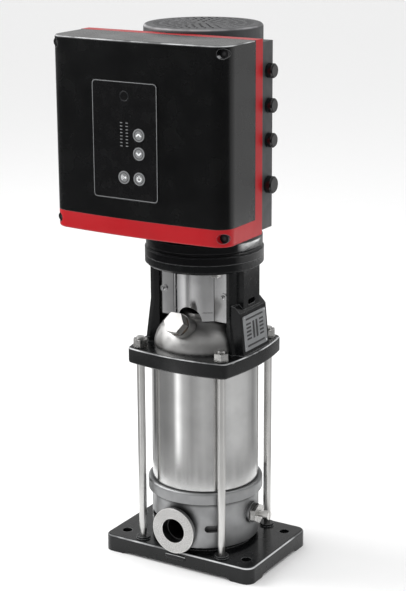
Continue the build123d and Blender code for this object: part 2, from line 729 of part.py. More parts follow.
def seal_seat():
    """Stationary ring of the shaft seal, pressed into the head's neck."""
    return tube(SEAL_BORE_R, SHAFT_R + SEAT_GAP, NECK_TOP - SEAL_SEAT_HEIGHT, NECK_TOP)


def seal_rotor():
    """Rotating ring of the shaft seal, with its drive collar, running against the seat."""
    face = NECK_TOP - SEAL_SEAT_HEIGHT - RUN_GAP
    ring = drum(SEAL_RING_R, face - SEAL_RING_HEIGHT / 2, face)
    collar = drum(SEAL_RING_R - SEAL_COLLAR_STEP, face - SEAL_RING_HEIGHT, face - SEAL_RING_HEIGHT / 2)
    return ring + collar - drum(SHAFT_R, face - SEAL_RING_HEIGHT, face)


# ------------------------------------------------------------------ motor stool, rating plate
def bowed_square():
    """Outline of the stool's plate: a square whose sides bow outwards between rounded corners."""
    half = STOOL_PLATE / 2
    middle = half + STOOL_BULGE
    sides = [
        ThreePointArc((-half, -half), (0, -middle), (half, -half)),
        ThreePointArc((half, -half), (middle, 0), (half, half)),
        ThreePointArc((half, half), (0, middle), (-half, half)),
        ThreePointArc((-half, half), (-middle, 0), (-half, -half)),
    ]
    outline = make_face(sides)
    return fillet(outline.vertices(), STOOL_CORNER_R)


def stool_leg():
    """One leg on the +X side: a curved wall that flares at its foot, with a flat rib down its back."""
    inside = LEG_R - LEG_WALL
    flare_top = PLATE_DECK + LEG_FLARE_HEIGHT
    foot = PLATE_DECK - 1
    wall = turned(
        (inside, foot),
        (LEG_R + LEG_FLARE, foot),
        (LEG_R, flare_top),
        (LEG_R, FLANGE_UNDER + 1),
        (inside, FLANGE_UNDER + 1),
    )
    leg = wall & wedge(LEG_HALF_ANGLE, foot, FLANGE_UNDER + 1)
    out = LEG_R + RIB_PROUD
    side = Polyline(
        (inside, foot),
        (out + LEG_FLARE, foot),
        (out, flare_top),
        (out, FLANGE_UNDER + 1),
        (inside, FLANGE_UNDER + 1),
        close=True,
    )
    leg += Pos(0, RIB_WIDTH / 2, 0) * extrude(Plane.XZ * make_face(side), RIB_WIDTH)
    return leg


def pad_side():
    """Side outline of the rating plate's pad on the +X leg."""
    crest = PLATE_DECK + PAD_HEIGHT
    inside = LEG_R - LEG_WALL
    return Polyline(
        (inside, PLATE_DECK - 1),
        (PAD_FOOT_OUT, PLATE_DECK - 1),
        (PAD_FOOT_OUT, PLATE_DECK),
        (PAD_TOP_OUT, crest - PAD_BEVEL),
        (PAD_TOP_OUT - PAD_BEVEL, crest),
        (inside, crest),
        close=True,
    )


def pad_lean():
    """Angle in degrees between the pad's outer face and the upright."""
    return math.degrees(math.atan2(PAD_FOOT_OUT - PAD_TOP_OUT, PAD_HEIGHT - PAD_BEVEL))


def guard_lugs():
    """Flat-faced lugs inside the legs that the coupling guards' wings lie on."""
    inner = GUARD_WING - LUG_WIDTH / 2
    face = GUARD_PLANE - GUARD_THICK
    lug = block((inner, LEG_R), (-face, -face + LUG_DEPTH), (PLATE_DECK + LUG_RISE, FLANGE_UNDER + 1))
    lug &= drum(LEG_R - LEG_WALL + 1, PLATE_DECK, STOOL_TOP)
    lug += mirror(lug, Plane.XZ)
    return both_ways(lug)


def stool_flange():
    """Round flange on top of the legs that the motor stands on."""
    ring = turned(
        (FLANGE_BORE_R, FLANGE_UNDER),
        (FLANGE_R - FLANGE_EDGE, FLANGE_UNDER),
        (FLANGE_R, FLANGE_UNDER + FLANGE_EDGE),
        (FLANGE_R, STOOL_TOP),
        (FLANGE_BORE_R, STOOL_TOP),
    )
    return ring - at_motor_bolts(Cylinder(MOTOR_BOLT_R + SLIP_GAP, FLANGE_THICK, align=BASE), FLANGE_UNDER)


def at_motor_bolts(solid, level):
    """One copy of the solid on each of the motor's four bolts, from the given level."""
    return Part() + [Pos(0, 0, level) * place * solid for place in PolarLocations(MOTOR_BOLT_CIRCLE_R, 4, 45)]


def motor_stool():
    plate = Pos(0, 0, HEAD_SEAT) * extrude(bowed_square(), STOOL_PLATE_THICK)
    rims = plate.faces().filter_by(Plane.XY).edges()
    plate = fillet(rims, STOOL_EDGE_R) - head_clearance()
    plate -= at_rods(Cylinder(ROD_R + SLIP_GAP, 3 * STOOL_PLATE_THICK), PLATE_DECK)
    pad = Pos(0, PAD_WIDTH / 2, 0) * extrude(Plane.XZ * make_face(pad_side()), PAD_WIDTH)
    legs = both_ways(stool_leg()) + pad - rib_slot()
    legs -= drum(LEG_R - LEG_WALL, PLATE_DECK - 1, FLANGE_UNDER)
    legs -= head_clearance()
    return plate + legs + guard_lugs() + stool_flange()


def rib_slot():
    """Oblong opening through the +X leg, just above the rating plate's pad."""
    outline = SlotOverall(RIB_SLOT_LENGTH, RIB_SLOT_HEIGHT)
    return Pos(0, 0, PLATE_DECK + RIB_SLOT_RISE) * extrude(Plane.YZ * outline, 2 * LEG_R)


def rating_plate():
    """Bare plate on the sloping pad."""
    level = PLATE_DECK + (PAD_HEIGHT - PAD_BEVEL) / 2
    middle = Pos((PAD_TOP_OUT + PAD_FOOT_OUT) / 2, 0, level) * Rot(0, 90 - pad_lean(), 0)
    return middle * extrude(RectangleRounded(RATING_HEIGHT, RATING_WIDTH, 2), RATING_THICK)


# ------------------------------------------------------------------ coupling and guards
def coupling_halves():
    """Split clamp: the lower half of its bore holds the pump shaft, the upper half the motor shaft."""
    middle = (COUPLING_BOTTOM + COUPLING_TOP) / 2
    body = drum(COUPLING_R, COUPLING_BOTTOM, COUPLING_TOP)
    body -= drum(SHAFT_R, COUPLING_BOTTOM, middle)
    body -= drum(MOTOR_SHAFT_R, middle, COUPLING_TOP)
    body -= Pos(0, 0, middle) * Box(3 * COUPLING_R, COUPLING_GAP, 2 * COUPLING_HEIGHT)
    for place in coupling_screw_places():
        body -= place * Cylinder(GUARD_SCREW_R + SLIP_GAP, 3 * COUPLING_R)
    return body


def coupling_screw_places():
    """Cross lines of the four clamp screws, along Y."""
    across = (COUPLING_R + MOTOR_SHAFT_R) / 2
    levels = (COUPLING_BOTTOM + COUPLING_HEIGHT / 4, COUPLING_TOP - COUPLING_HEIGHT / 4)
    return [Pos(x, 0, z) * Rot(90, 0, 0) for x in (-across, across) for z in levels]


def coupling_screws():
    screws = [place * Cylinder(GUARD_SCREW_R, CLAMP_SCREW_LENGTH) for place in coupling_screw_places()]
    return Part() + screws


def guard():
    """Front coupling guard: a curved middle between two flat wings, notched over the vent plug."""
    top = FLANGE_UNDER - GUARD_TOP_GAP
    bottom = top - GUARD_HEIGHT
    side = math.sqrt(GUARD_R**2 - GUARD_PLANE**2)
    inner_r = GUARD_R - GUARD_THICK
    inner_y = GUARD_PLANE - GUARD_THICK
    inner_side = math.sqrt(inner_r**2 - inner_y**2)
    edges = [
        Line((-GUARD_WING, -inner_y), (-GUARD_WING, -GUARD_PLANE)),
        Line((-GUARD_WING, -GUARD_PLANE), (-side, -GUARD_PLANE)),
        ThreePointArc((-side, -GUARD_PLANE), (0, -GUARD_R), (side, -GUARD_PLANE)),
        Line((side, -GUARD_PLANE), (GUARD_WING, -GUARD_PLANE)),
        Line((GUARD_WING, -GUARD_PLANE), (GUARD_WING, -inner_y)),
        Line((GUARD_WING, -inner_y), (inner_side, -inner_y)),
        ThreePointArc((inner_side, -inner_y), (0, -inner_r), (-inner_side, -inner_y)),
        Line((-inner_side, -inner_y), (-GUARD_WING, -inner_y)),
    ]
    sheet = Pos(0, 0, bottom) * extrude(make_face(edges), GUARD_HEIGHT)
    ends = sheet.faces().filter_by(Axis.X).edges().filter_by(Axis.Y)
    sheet = fillet(ends.group_by(Axis.Z)[-1], GUARD_CORNER_R)
    notch = Pos(0, 0, bottom) * Rot(90, 0, 0) * Cylinder(GUARD_NOTCH_R, 3 * GUARD_R)
    sheet -= notch & block((-GUARD_R, GUARD_R), (-2 * GUARD_R, 0), (bottom - 1, top))
    for x in (-1, 1):
        sheet -= Pos(x * guard_screw_x(), 0, (top + bottom) / 2) * Rot(90, 0, 0) * Cylinder(
            GUARD_SCREW_R + SLIP_GAP, 3 * GUARD_R
        )
    return sheet


def guard_screw_x():
    return GUARD_WING - GUARD_SCREW_EDGE


def guard_screws():
    """Pan heads on the wings, with their shanks cut off at the lugs' faces."""
    level = FLANGE_UNDER - GUARD_TOP_GAP - GUARD_HEIGHT / 2
    screw = Pos(0, 0, GUARD_PLANE) * Cylinder(2 * GUARD_SCREW_R, GUARD_SCREW_HEAD, align=BASE)
    screw += Pos(0, 0, GUARD_PLANE - GUARD_THICK) * Cylinder(GUARD_SCREW_R, GUARD_THICK + 1, align=BASE)
    front = [Pos(x * guard_screw_x(), 0, level) * Rot(90, 0, 0) * screw for x in (-1, 1)]
    return both_ways(Part() + front)


# ------------------------------------------------------------------ motor
def motor_flange():
    """Lower end of the motor: a flange on the stool, a neck, and a bell that opens to the housing."""
    spigot_foot = STOOL_TOP - MOTOR_SPIGOT
    shaft_hole = MOTOR_SHAFT_R + SHAFT_HOLE_GAP
    neck_foot = STOOL_TOP + MOTOR_FLANGE_THICK
    spigot = FLANGE_BORE_R - SLIP_GAP
    shell = turned(
        (shaft_hole, spigot_foot),
        (spigot, spigot_foot),
        (spigot, STOOL_TOP),
        (FLANGE_R, STOOL_TOP),
        (FLANGE_R, neck_foot),
        (MOTOR_NECK_R, neck_foot),
        (MOTOR_NECK_R, BELL_BOTTOM),
        (MOTOR_BELL_R, BELL_BOTTOM + BELL_EDGE),
        (MOTOR_BELL_R, MOTOR_BOTTOM - BELL_SLOPE),
        (MOTOR_R, MOTOR_BOTTOM),
        (shaft_hole, MOTOR_BOTTOM),
    )
    shell -= at_motor_bolts(Cylinder(MOTOR_BOLT_R + RUN_GAP, MOTOR_BOLT_DEPTH, align=BASE), STOOL_TOP)
    return shell - drum(BEARING_R, MOTOR_BOTTOM - BEARING_HEIGHT, MOTOR_BOTTOM)


def motor_bolts():
    """Hexagon bolts up through the stool's flange into the motor."""
    bolt = Pos(0, 0, -MOTOR_BOLT_HEAD) * hexagon(MOTOR_BOLT_FLATS, MOTOR_BOLT_HEAD)
    bolt += Cylinder(MOTOR_BOLT_R, FLANGE_THICK + MOTOR_BOLT_DEPTH - 1, align=BASE)
    return at_motor_bolts(bolt, FLANGE_UNDER)


def bearing_feet():
    """Levels of the undersides of the motor's two bearings."""
    return (MOTOR_BOTTOM - BEARING_HEIGHT, MOTOR_TOP - BEARING_HEIGHT)


def bearing_outer_rings():
    middle = (BEARING_R + MOTOR_SHAFT_R) / 2
    rings = [tube(BEARING_R, middle, foot, foot + BEARING_HEIGHT) for foot in bearing_feet()]
    return Part() + rings


def bearing_inner_rings():
    middle = (BEARING_R + MOTOR_SHAFT_R) / 2 - RUN_GAP
    rings = [tube(middle, MOTOR_SHAFT_R, foot, foot + BEARING_HEIGHT) for foot in bearing_feet()]
    return Part() + rings


def motor_housing():
    """Finned tube, with a curved boss on the -Y side that carries the drive box."""
    inner = MOTOR_R - MOTOR_WALL
    housing = tube(MOTOR_R, inner, MOTOR_BOTTOM, MOTOR_TOP)
    fin_ends = (MOTOR_BOTTOM + FIN_END, MOTOR_TOP - FIN_END)
    fin = block((inner + 1, FIN_REACH), (-FIN_THICK / 2, FIN_THICK / 2), fin_ends)
    housing += [place * fin for place in PolarLocations(0, FIN_COUNT)]
    half = BOSS_WIDTH / 2
    boss = block((-half, half), (-FAN_COVER_R, -inner - 1), (BOX_BOTTOM + BOSS_RISE, MOTOR_TOP - BOSS_DROP))
    housing += boss & drum(saddle_radius() - SEAT_GAP, MOTOR_BOTTOM, MOTOR_TOP)
    return housing


def stator_core():
    middle = (MOTOR_BOTTOM + MOTOR_TOP) / 2
    outer = MOTOR_R - MOTOR_WALL
    return tube(outer, STATOR_BORE_R, middle - STATOR_HEIGHT / 2, middle + STATOR_HEIGHT / 2)


def stator_windings():
    middle = (MOTOR_BOTTOM + MOTOR_TOP) / 2
    half = STATOR_HEIGHT / 2
    outer = MOTOR_R - 2 * MOTOR_WALL
    low = tube(outer, STATOR_BORE_R + 2, middle - half - WINDING_HEIGHT, middle - half)
    return low + tube(outer, STATOR_BORE_R + 2, middle + half, middle + half + WINDING_HEIGHT)


def rotor_core():
    middle = (MOTOR_BOTTOM + MOTOR_TOP) / 2
    outer = STATOR_BORE_R - ROTOR_GAP
    return tube(outer, MOTOR_SHAFT_R, middle - STATOR_HEIGHT / 2, middle + STATOR_HEIGHT / 2)


def motor_shaft():
    foot = (COUPLING_BOTTOM + COUPLING_TOP) / 2
    return drum(MOTOR_SHAFT_R, foot, FAN_FOOT + FAN_HEIGHT)


def motor_end_shield():
    """Upper end of the motor: a disc on the housing, with a hub below it for the bearing."""
    foot = MOTOR_TOP - BEARING_HEIGHT
    shield = drum(FAN_COVER_R - FAN_COVER_WALL - SLIP_GAP, MOTOR_TOP, SHIELD_TOP)
    shield += drum(BEARING_R + BEARING_SEAT_WALL, foot, MOTOR_TOP)
    shield -= drum(BEARING_R, foot, MOTOR_TOP)
    return shield - drum(MOTOR_SHAFT_R + SEAT_GAP, foot, SHIELD_TOP)


def fan():
    """Radial fan: a hub and a thin disc under straight blades, which work either way round."""
    top = FAN_FOOT + FAN_HEIGHT - FAN_DISC
    hub = MOTOR_SHAFT_R + FAN_HUB_WALL
    wheel = drum(hub, FAN_FOOT, top) + drum(FAN_R, FAN_FOOT, FAN_FOOT + FAN_DISC)
    half = FAN_DISC / 2
    paddle = block((hub - half, FAN_R), (-half, half), (FAN_FOOT + half, top - FAN_DISC))
    wheel += [place * paddle for place in PolarLocations(0, FAN_BLADES)]
    return wheel - drum(MOTOR_SHAFT_R, FAN_FOOT, top)


def fan_cover():
    """Drawn cup over the fan, with rings of slots through its top."""
    cup = drum(FAN_COVER_R, MOTOR_TOP, FAN_COVER_TOP)
    cup = fillet(cup.edges().sort_by(Axis.Z)[-1], FAN_COVER_EDGE)
    inner = FAN_COVER_R - FAN_COVER_WALL
    cup -= drum(inner, MOTOR_TOP, FAN_COVER_TOP - FAN_COVER_EDGE)
    cup -= drum(inner - FAN_COVER_EDGE, MOTOR_TOP, FAN_COVER_TOP - FAN_COVER_WALL)
    slot = Pos(0, 0, FAN_COVER_TOP) * Box(SLOT_LENGTH, SLOT_WIDTH, 4 * FAN_COVER_WALL)
    return cup - [place * slot for place in slot_places()]


def slot_places():
    """Places of the slots: rings of them, one pitch apart, as far as the cover's flat top goes."""
    reach = FAN_COVER_R - FAN_COVER_EDGE - SLOT_LENGTH
    rings = 1 + int((reach - SLOT_INNER_R) / SLOT_RING_PITCH)
    places = []
    for ring in range(rings):
        radius = SLOT_INNER_R + ring * SLOT_RING_PITCH
        places += PolarLocations(radius, round(2 * math.pi * radius / SLOT_SPACING))
    return places


# ------------------------------------------------------------------ drive box shells
def saddle_radius():
    """Radius of the hollow down the back of the drive box that clears the motor."""
    return FAN_COVER_R + SADDLE_GAP


def box_plan(back, inset):
    """Plan of the drive box in front of the given line: straight sides, round corners, bowed front."""
    half = BOX_WIDTH / 2 - inset
    front = BOX_FRONT - inset
    outline = [
        Line((-half, -back), (-half, -front)),
        ThreePointArc((-half, -front), (0, -front - BOX_BOW), (half, -front)),
        Line((half, -front), (half, -back)),
        Line((half, -back), (-half, -back)),
    ]
    face = make_face(outline)
    return fillet(face.vertices().group_by(Axis.Y)[0], BOX_CORNER_R - inset)


def boxed(back, inset, bottom, top):
    """The drive box's plan raised between two levels."""
    return Pos(0, 0, bottom) * extrude(box_plan(back, inset), top - bottom)


def front_y(x):
    """Y of the bowed front face at a place across the box, as the arc through its middle gives it."""
    half = BOX_WIDTH / 2
    radius = (half**2 + BOX_BOW**2) / (2 * BOX_BOW)
    return -(BOX_FRONT + BOX_BOW - radius + math.sqrt(radius**2 - x**2))


def cover_screw_places():
    """(x, z) of the four cover screws: two through the front cover, two through the red band."""
    x = BOX_WIDTH / 2 - COVER_SCREW_INSET
    high = BOX_TOP - COVER_SCREW_DROP
    low = BOX_BOTTOM + BAND_HEIGHT / 2
    return [(-x, high), (x, high), (-x, low), (x, low)]


def front_cover():
    bottom = BOX_BOTTOM + BAND_HEIGHT
    outer = boxed(COVER_BACK, 0, bottom, BOX_TOP)
    rim = outer.faces().sort_by(Axis.Z)[-1].edges().sort_by(Axis.Y)[:-1]
    outer = fillet(rim, BOX_EDGE_R)
    cover = outer - boxed(COVER_BACK, BOX_WALL, bottom, BOX_TOP - BOX_WALL)
    cover += screw_posts(cover_screw_places()[:2]) & outer
    cover -= panel_slab(PANEL_WIDTH + 2 * SLIP_GAP, PANEL_HEIGHT + 2 * SLIP_GAP, 4 * BOX_WALL)
    return cover - screw_recesses(cover_screw_places()[:2])


def screw_posts(places):
    """Round posts behind the cover's corners, longer than the box is deep."""
    radius = COVER_SCREW_R + COVER_POST_WALL
    posts = Part()
    for x, z in places:
        posts += Pos(x, -COVER_BACK, z) * Rot(90, 0, 0) * Cylinder(radius, BOX_FRONT, align=BASE)
    return posts


def screw_recesses(places):
    """Round recesses for the screw heads, with a hole for each shank behind them."""
    cuts = Part()
    for x, z in places:
        seat = front_y(BOX_WIDTH / 2 - BOX_CORNER_R) + COVER_SCREW_DEPTH + COVER_SCREW_INSET
        line = Pos(x, seat, z) * Rot(90, 0, 0)
        cuts += line * Cylinder(COVER_SCREW_R, BOX_FRONT, align=BASE)
        cuts += line * Cylinder(GUARD_SCREW_R + SLIP_GAP, 2 * BOX_FRONT)
    return cuts


def cover_screws():
    seat = front_y(BOX_WIDTH / 2 - BOX_CORNER_R) + COVER_SCREW_DEPTH + COVER_SCREW_INSET
    screw = Cylinder(COVER_SCREW_R - SEAT_GAP, COVER_SCREW_HEAD, align=BASE)
    screw += Pos(0, 0, -COVER_SCREW_LENGTH) * Cylinder(GUARD_SCREW_R, COVER_SCREW_LENGTH + 1, align=BASE)
    return Part() + [Pos(x, seat, z) * Rot(90, 0, 0) * screw for x, z in cover_screw_places()]


def control_frame():
    """Red frame: a tray under the front cover, and a ring behind it round the sides and top."""
    tray_top = BOX_BOTTOM + BAND_HEIGHT
    half = BOX_WIDTH / 2
    outer = boxed(FRAME_BACK, 0, BOX_BOTTOM, tray_top)
    rim = outer.faces().sort_by(Axis.Z)[0].edges().sort_by(Axis.Y)[:-1]
    outer = fillet(rim, BOX_EDGE_R)
    tray = outer - boxed(FRAME_BACK, BOX_WALL, BOX_BOTTOM + BOX_WALL, tray_top)
    tray += screw_posts(cover_screw_places()[2:]) & outer
    ring_front = COVER_BACK - BOX_GASKET
    ring = block((-half, half), (-ring_front, -FRAME_BACK), (tray_top, BOX_TOP))
    inside = (-half + BOX_WALL, half - BOX_WALL)
    ring -= block(inside, (-ring_front, -FRAME_BACK), (tray_top, BOX_TOP - BOX_WALL))
    frame = tray + ring - screw_recesses(cover_screw_places()[2:])
    return frame - drum(saddle_radius(), BOX_BOTTOM, BOX_TOP)


def cover_gasket():
    half = BOX_WIDTH / 2
    tray_top = BOX_BOTTOM + BAND_HEIGHT
    depth = (-COVER_BACK, -COVER_BACK + BOX_GASKET)
    strip = block((-half, half), depth, (tray_top, BOX_TOP))
    return strip - block((-half + BOX_WALL, half - BOX_WALL), depth, (tray_top, BOX_TOP - BOX_WALL))


def control_housing():
    """Rear casting: a shallow tray whose back wraps round the motor, with the cable entries in its side."""
    half = BOX_WIDTH / 2
    bottom = BOX_BOTTOM + HOUSING_RISE
    top = BOX_TOP - HOUSING_DROP
    depth = (-FRAME_BACK, -HOUSING_BACK)
    tray = block((-half, half), depth, (bottom, top))
    tray = fillet(tray.faces().sort_by(Axis.Y)[-1].edges(), HOUSING_EDGE_R)
    inner_x = (-half + HOUSING_WALL, half - HOUSING_WALL)
    inner_z = (bottom + HOUSING_WALL, top - HOUSING_WALL)
    hollow = block(inner_x, (-FRAME_BACK, -HOUSING_BACK - HOUSING_WALL), inner_z)
    saddle = drum(saddle_radius() + HOUSING_WALL, bottom, top)
    lobe = saddle & block((-half, half), (-FAN_COVER_R - 2 * HOUSING_WALL, -HOUSING_BACK), (bottom, top))
    tray -= hollow - saddle
    tray += lobe & drum(saddle_radius() + HOUSING_WALL, bottom + HOUSING_WALL, top - HOUSING_WALL)
    tray -= drum(saddle_radius(), bottom, top)
    for x, y, z, radius in plug_places():
        tray -= Pos(x, y, z) * Rot(0, 90, 0) * Cylinder(PLUG_STEM * radius + SLIP_GAP, 4 * HOUSING_WALL)
    return tray


def plug_places():
    """(x, y, z, radius) of the blanking plugs, on the +X side of the rear casting."""
    y = -(FRAME_BACK + HOUSING_BACK) / 2
    return [(BOX_WIDTH / 2, y, BOX_BOTTOM + height, radius) for height, radius in PLUG_PLACES]


def blanking_plugs():
    """Round-headed plugs that close the cable entries."""
    plugs = Part()
    for x, y, z, radius in plug_places():
        head = Cylinder(radius, PLUG_PROUD, align=BASE)
        head = chamfer(head.edges().sort_by(Axis.Z)[-1], PLUG_EDGE)
        stem = Pos(0, 0, -HOUSING_WALL) * Cylinder(PLUG_STEM * radius, HOUSING_WALL + 1, align=BASE)
        plugs += Pos(x, y, z) * Rot(0, 90, 0) * (head + stem)
    return plugs


# ------------------------------------------------------------------ control panel, buttons and boards
def panel_face():
    """Y of the panel's front face."""
    return -(BOX_FRONT + BOX_BOW + PANEL_PROUD)


def panel_slab(width, height, thick):
    """Rounded slab standing on the panel's centre, from its front face inwards."""
    outline = extrude(RectangleRounded(width, height, PANEL_CORNER_R), thick)
    return Pos(PANEL_CENTRE_X, panel_face() + thick, PANEL_CENTRE_Z) * Rot(90, 0, 0) * outline


def on_panel(x, z, depth):
    """Location on the panel, depth behind its front face, with local Z pointing out to the user."""
    return Pos(PANEL_CENTRE_X + x, panel_face() + depth, PANEL_CENTRE_Z + z) * Rot(90, 0, 0)


def control_panel():
    panel = panel_slab(PANEL_WIDTH, PANEL_HEIGHT, PANEL_THICK)
    for x, z in BUTTON_PLACES.values():
        panel -= on_panel(x, z, 0) * Cylinder(BUTTON_R + BUTTON_GAP, 3 * PANEL_THICK)
    ring = Cylinder(STATUS_RING_R, PANEL_THICK) - Cylinder(STATUS_RING_R - STATUS_RING_WIDTH, PANEL_THICK)
    panel -= on_panel(0, STATUS_RING_RISE, 0) * ring
    post = Cylinder(PANEL_POST_R, board_depth() - PANEL_THICK / 2, align=BASE)
    across = PANEL_WIDTH / 2 - PANEL_POST_INSET
    up = PANEL_HEIGHT / 2 - PANEL_POST_INSET
    for x, z in ((-across, -up), (across, -up), (-across, up), (across, up)):
        panel += on_panel(x, z, board_depth()) * post
    return panel


def status_ring():
    ring = Cylinder(STATUS_RING_R, PANEL_THICK / 2, align=BASE)
    ring -= Cylinder(STATUS_RING_R - STATUS_RING_WIDTH, PANEL_THICK / 2, align=BASE)
    return on_panel(0, STATUS_RING_RISE, PANEL_THICK / 2) * ring


def push_button(name):
    """Cap that stands through the panel, on a wider foot behind it."""
    x, z = BUTTON_PLACES[name]
    foot_depth = PANEL_THICK + SLIP_GAP + BUTTON_BASE
    cap = Cylinder(BUTTON_R, foot_depth + BUTTON_PROUD, align=BASE)
    return on_panel(x, z, foot_depth) * (cap + Cylinder(BUTTON_R + BUTTON_COLLAR, BUTTON_BASE, align=BASE))


def board_depth():
    """Depth of the control board's front behind the panel's face: past the buttons' full travel."""
    return PANEL_THICK + 2 * SLIP_GAP + BUTTON_BASE + BUTTON_TRAVEL + BUTTON_GAP


def circuit_boards():
    """The control board behind the panel, and the power board across the frame."""
    inset = 2 * BOARD_INSET
    control = Box(PANEL_WIDTH - inset, PANEL_HEIGHT - inset, BOARD_THICK, align=BASE)
    boards = on_panel(0, 0, board_depth() + BOARD_THICK) * control
    half = BOX_WIDTH / 2 - BOX_WALL - SEAT_GAP
    back = power_board_y()
    depth = (back - BOARD_THICK, back)
    return boards + block((-half, half), depth, (BOX_BOTTOM + 1.5 * BAND_HEIGHT, BOX_TOP - 1.5 * BAND_HEIGHT))


def power_board_y():
    """Y of the power board's back, just in front of the saddle."""
    return -(saddle_radius() + HOUSING_WALL + 1)


def capacitors():
    front = power_board_y() - BOARD_THICK
    can = Pos(CAPACITOR_X, front, BOX_TOP - 4 * CAPACITOR_R) * Rot(90, 0, 0)
    can *= Cylinder(CAPACITOR_R, CAPACITOR_HEIGHT, align=BASE)
    return Part() + [Pos(step * 2.4 * CAPACITOR_R, 0, 0) * can for step in range(CAPACITOR_COUNT)]


def terminal_block():
    front = power_board_y() - BOARD_THICK
    low = BOX_BOTTOM + 2 * BAND_HEIGHT
    top = low + TERMINAL_HEIGHT
    rail = TERMINAL_PITCH - TERMINAL_SLOT
    end = TERMINAL_X + TERMINAL_COUNT * TERMINAL_PITCH + rail
    body = block((TERMINAL_X, end), (front - TERMINAL_DEPTH, front), (low, top))
    for step in range(TERMINAL_COUNT):
        x = TERMINAL_X + rail + step * TERMINAL_PITCH
        slot_y = (front - TERMINAL_DEPTH, front - TERMINAL_DEPTH / 2)
        body -= block((x, x + TERMINAL_SLOT), slot_y, (low + TERMINAL_HEIGHT / 2, top))
    return body


# ------------------------------------------------------------------ one STEP file for each piece
def pieces():
    """Every piece by name."""
    named = {
        "base_plate": base_plate(),
        "stay_bolts": stay_bolts(),
        "stay_bolt_washers": stay_bolt_washers(),
        "stay_bolt_nuts": stay_bolt_nuts(),
        "base_casting": base_casting(),
        "drain_plug": drain_plug(),
        "bypass_spindle": bypass_spindle(),
        "outer_sleeve": outer_sleeve(),
        "sleeve_gaskets": sleeve_gaskets(),
        "inlet_chamber": inlet_chamber(),
        "stage_chambers": stage_chambers(),
        "impellers": impellers(),
        "impeller_spacers": impeller_spacers(),
        "impeller_nut": impeller_nut(),
        "outlet_chamber": outlet_chamber(),
        "stack_spring": stack_spring(),
        "bearing_bush": bearing_bush(),
        "pump_shaft": pump_shaft(),
        "pump_head": pump_head(),
        "vent_ring": vent_ring(),
        "vent_plug": vent_plug(),
        "seal_seat": seal_seat(),
        "seal_rotor": seal_rotor(),
        "motor_stool": motor_stool(),
        "rating_plate": rating_plate(),
        "coupling_halves": coupling_halves(),
        "coupling_screws": coupling_screws(),
        "coupling_guard_front": guard(),
        "coupling_guard_rear": Rot(0, 0, 180) * guard(),
        "guard_screws": guard_screws(),
        "motor_flange": motor_flange(),
        "motor_bolts": motor_bolts(),
        "bearing_outer_rings": bearing_outer_rings(),
        "bearing_inner_rings": bearing_inner_rings(),
        "motor_housing": motor_housing(),
        "stator_core": stator_core(),
        "stator_windings": stator_windings(),
        "rotor_core": rotor_core(),
        "motor_shaft": motor_shaft(),
        "motor_end_shield": motor_end_shield(),
        "fan": fan(),
        "fan_cover": fan_cover(),
        "front_cover": front_cover(),
        "control_frame": control_frame(),
        "cover_gasket": cover_gasket(),
        "cover_screws": cover_screws(),
        "control_housing": control_housing(),
        "blanking_plugs": blanking_plugs(),
        "control_panel": control_panel(),
        "status_ring": status_ring(),
        "circuit_boards": circuit_boards(),
        "capacitors": capacitors(),
        "terminal_block": terminal_block(),
    }
    for button in BUTTON_PLACES:
        named[button] = push_button(button)
    return named


os.makedirs("parts", exist_ok=True)
for name, shape in pieces().items():
    export_step(shape, f"parts/{name}.step")
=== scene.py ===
import logging
import math
from dataclasses import dataclass, field, replace
from enum import Enum
from itertools import product
from typing import NamedTuple

import bmesh
import bpy
import numpy as np
from mathutils import Matrix, Vector


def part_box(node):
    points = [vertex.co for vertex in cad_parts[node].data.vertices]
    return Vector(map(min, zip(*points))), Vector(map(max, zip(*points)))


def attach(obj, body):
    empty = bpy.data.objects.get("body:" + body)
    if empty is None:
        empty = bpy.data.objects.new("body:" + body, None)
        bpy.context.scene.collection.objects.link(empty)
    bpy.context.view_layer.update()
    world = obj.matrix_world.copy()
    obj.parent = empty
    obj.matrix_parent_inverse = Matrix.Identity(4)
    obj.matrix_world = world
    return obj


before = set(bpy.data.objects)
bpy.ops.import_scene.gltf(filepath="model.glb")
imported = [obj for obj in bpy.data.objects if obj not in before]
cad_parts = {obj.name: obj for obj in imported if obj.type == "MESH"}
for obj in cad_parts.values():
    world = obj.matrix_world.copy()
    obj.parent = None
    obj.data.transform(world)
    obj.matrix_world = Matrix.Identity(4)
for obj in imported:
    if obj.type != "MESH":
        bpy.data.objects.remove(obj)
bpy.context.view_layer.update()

MM = 0.001
X, Y, Z = range(3)
SIDES = (-1, 1)
ALONG_Y = np.array([0.0, 1.0, 0.0])
LOG = logging.getLogger("pump")

Pair = tuple[float, float]
Point = tuple[float, float, float]
Colour = tuple[float, float, float]
Socket = bpy.types.NodeSocket


# ------------------------------------------------------------------ places read from the CAD nodes' boxes
def low(node: str, axis: int) -> float:
    """Lowest place of a CAD node along an axis, in millimetres."""
    return round(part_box(node)[0][axis] / MM, 3)


def high(node: str, axis: int) -> float:
    """Highest place of a CAD node along an axis, in millimetres."""
    return round(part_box(node)[1][axis] / MM, 3)


def middle(node: str) -> Pair:
    """(x, z) of the middle of a CAD node's box, in millimetres."""
    return (low(node, X) + high(node, X)) / 2, (low(node, Z) + high(node, Z)) / 2


# ------------------------------------------------------------------ shapes worked out on grids
class Shape(NamedTuple):
    """Points in millimetres, and faces of four point numbers each."""

    points: np.ndarray
    faces: np.ndarray


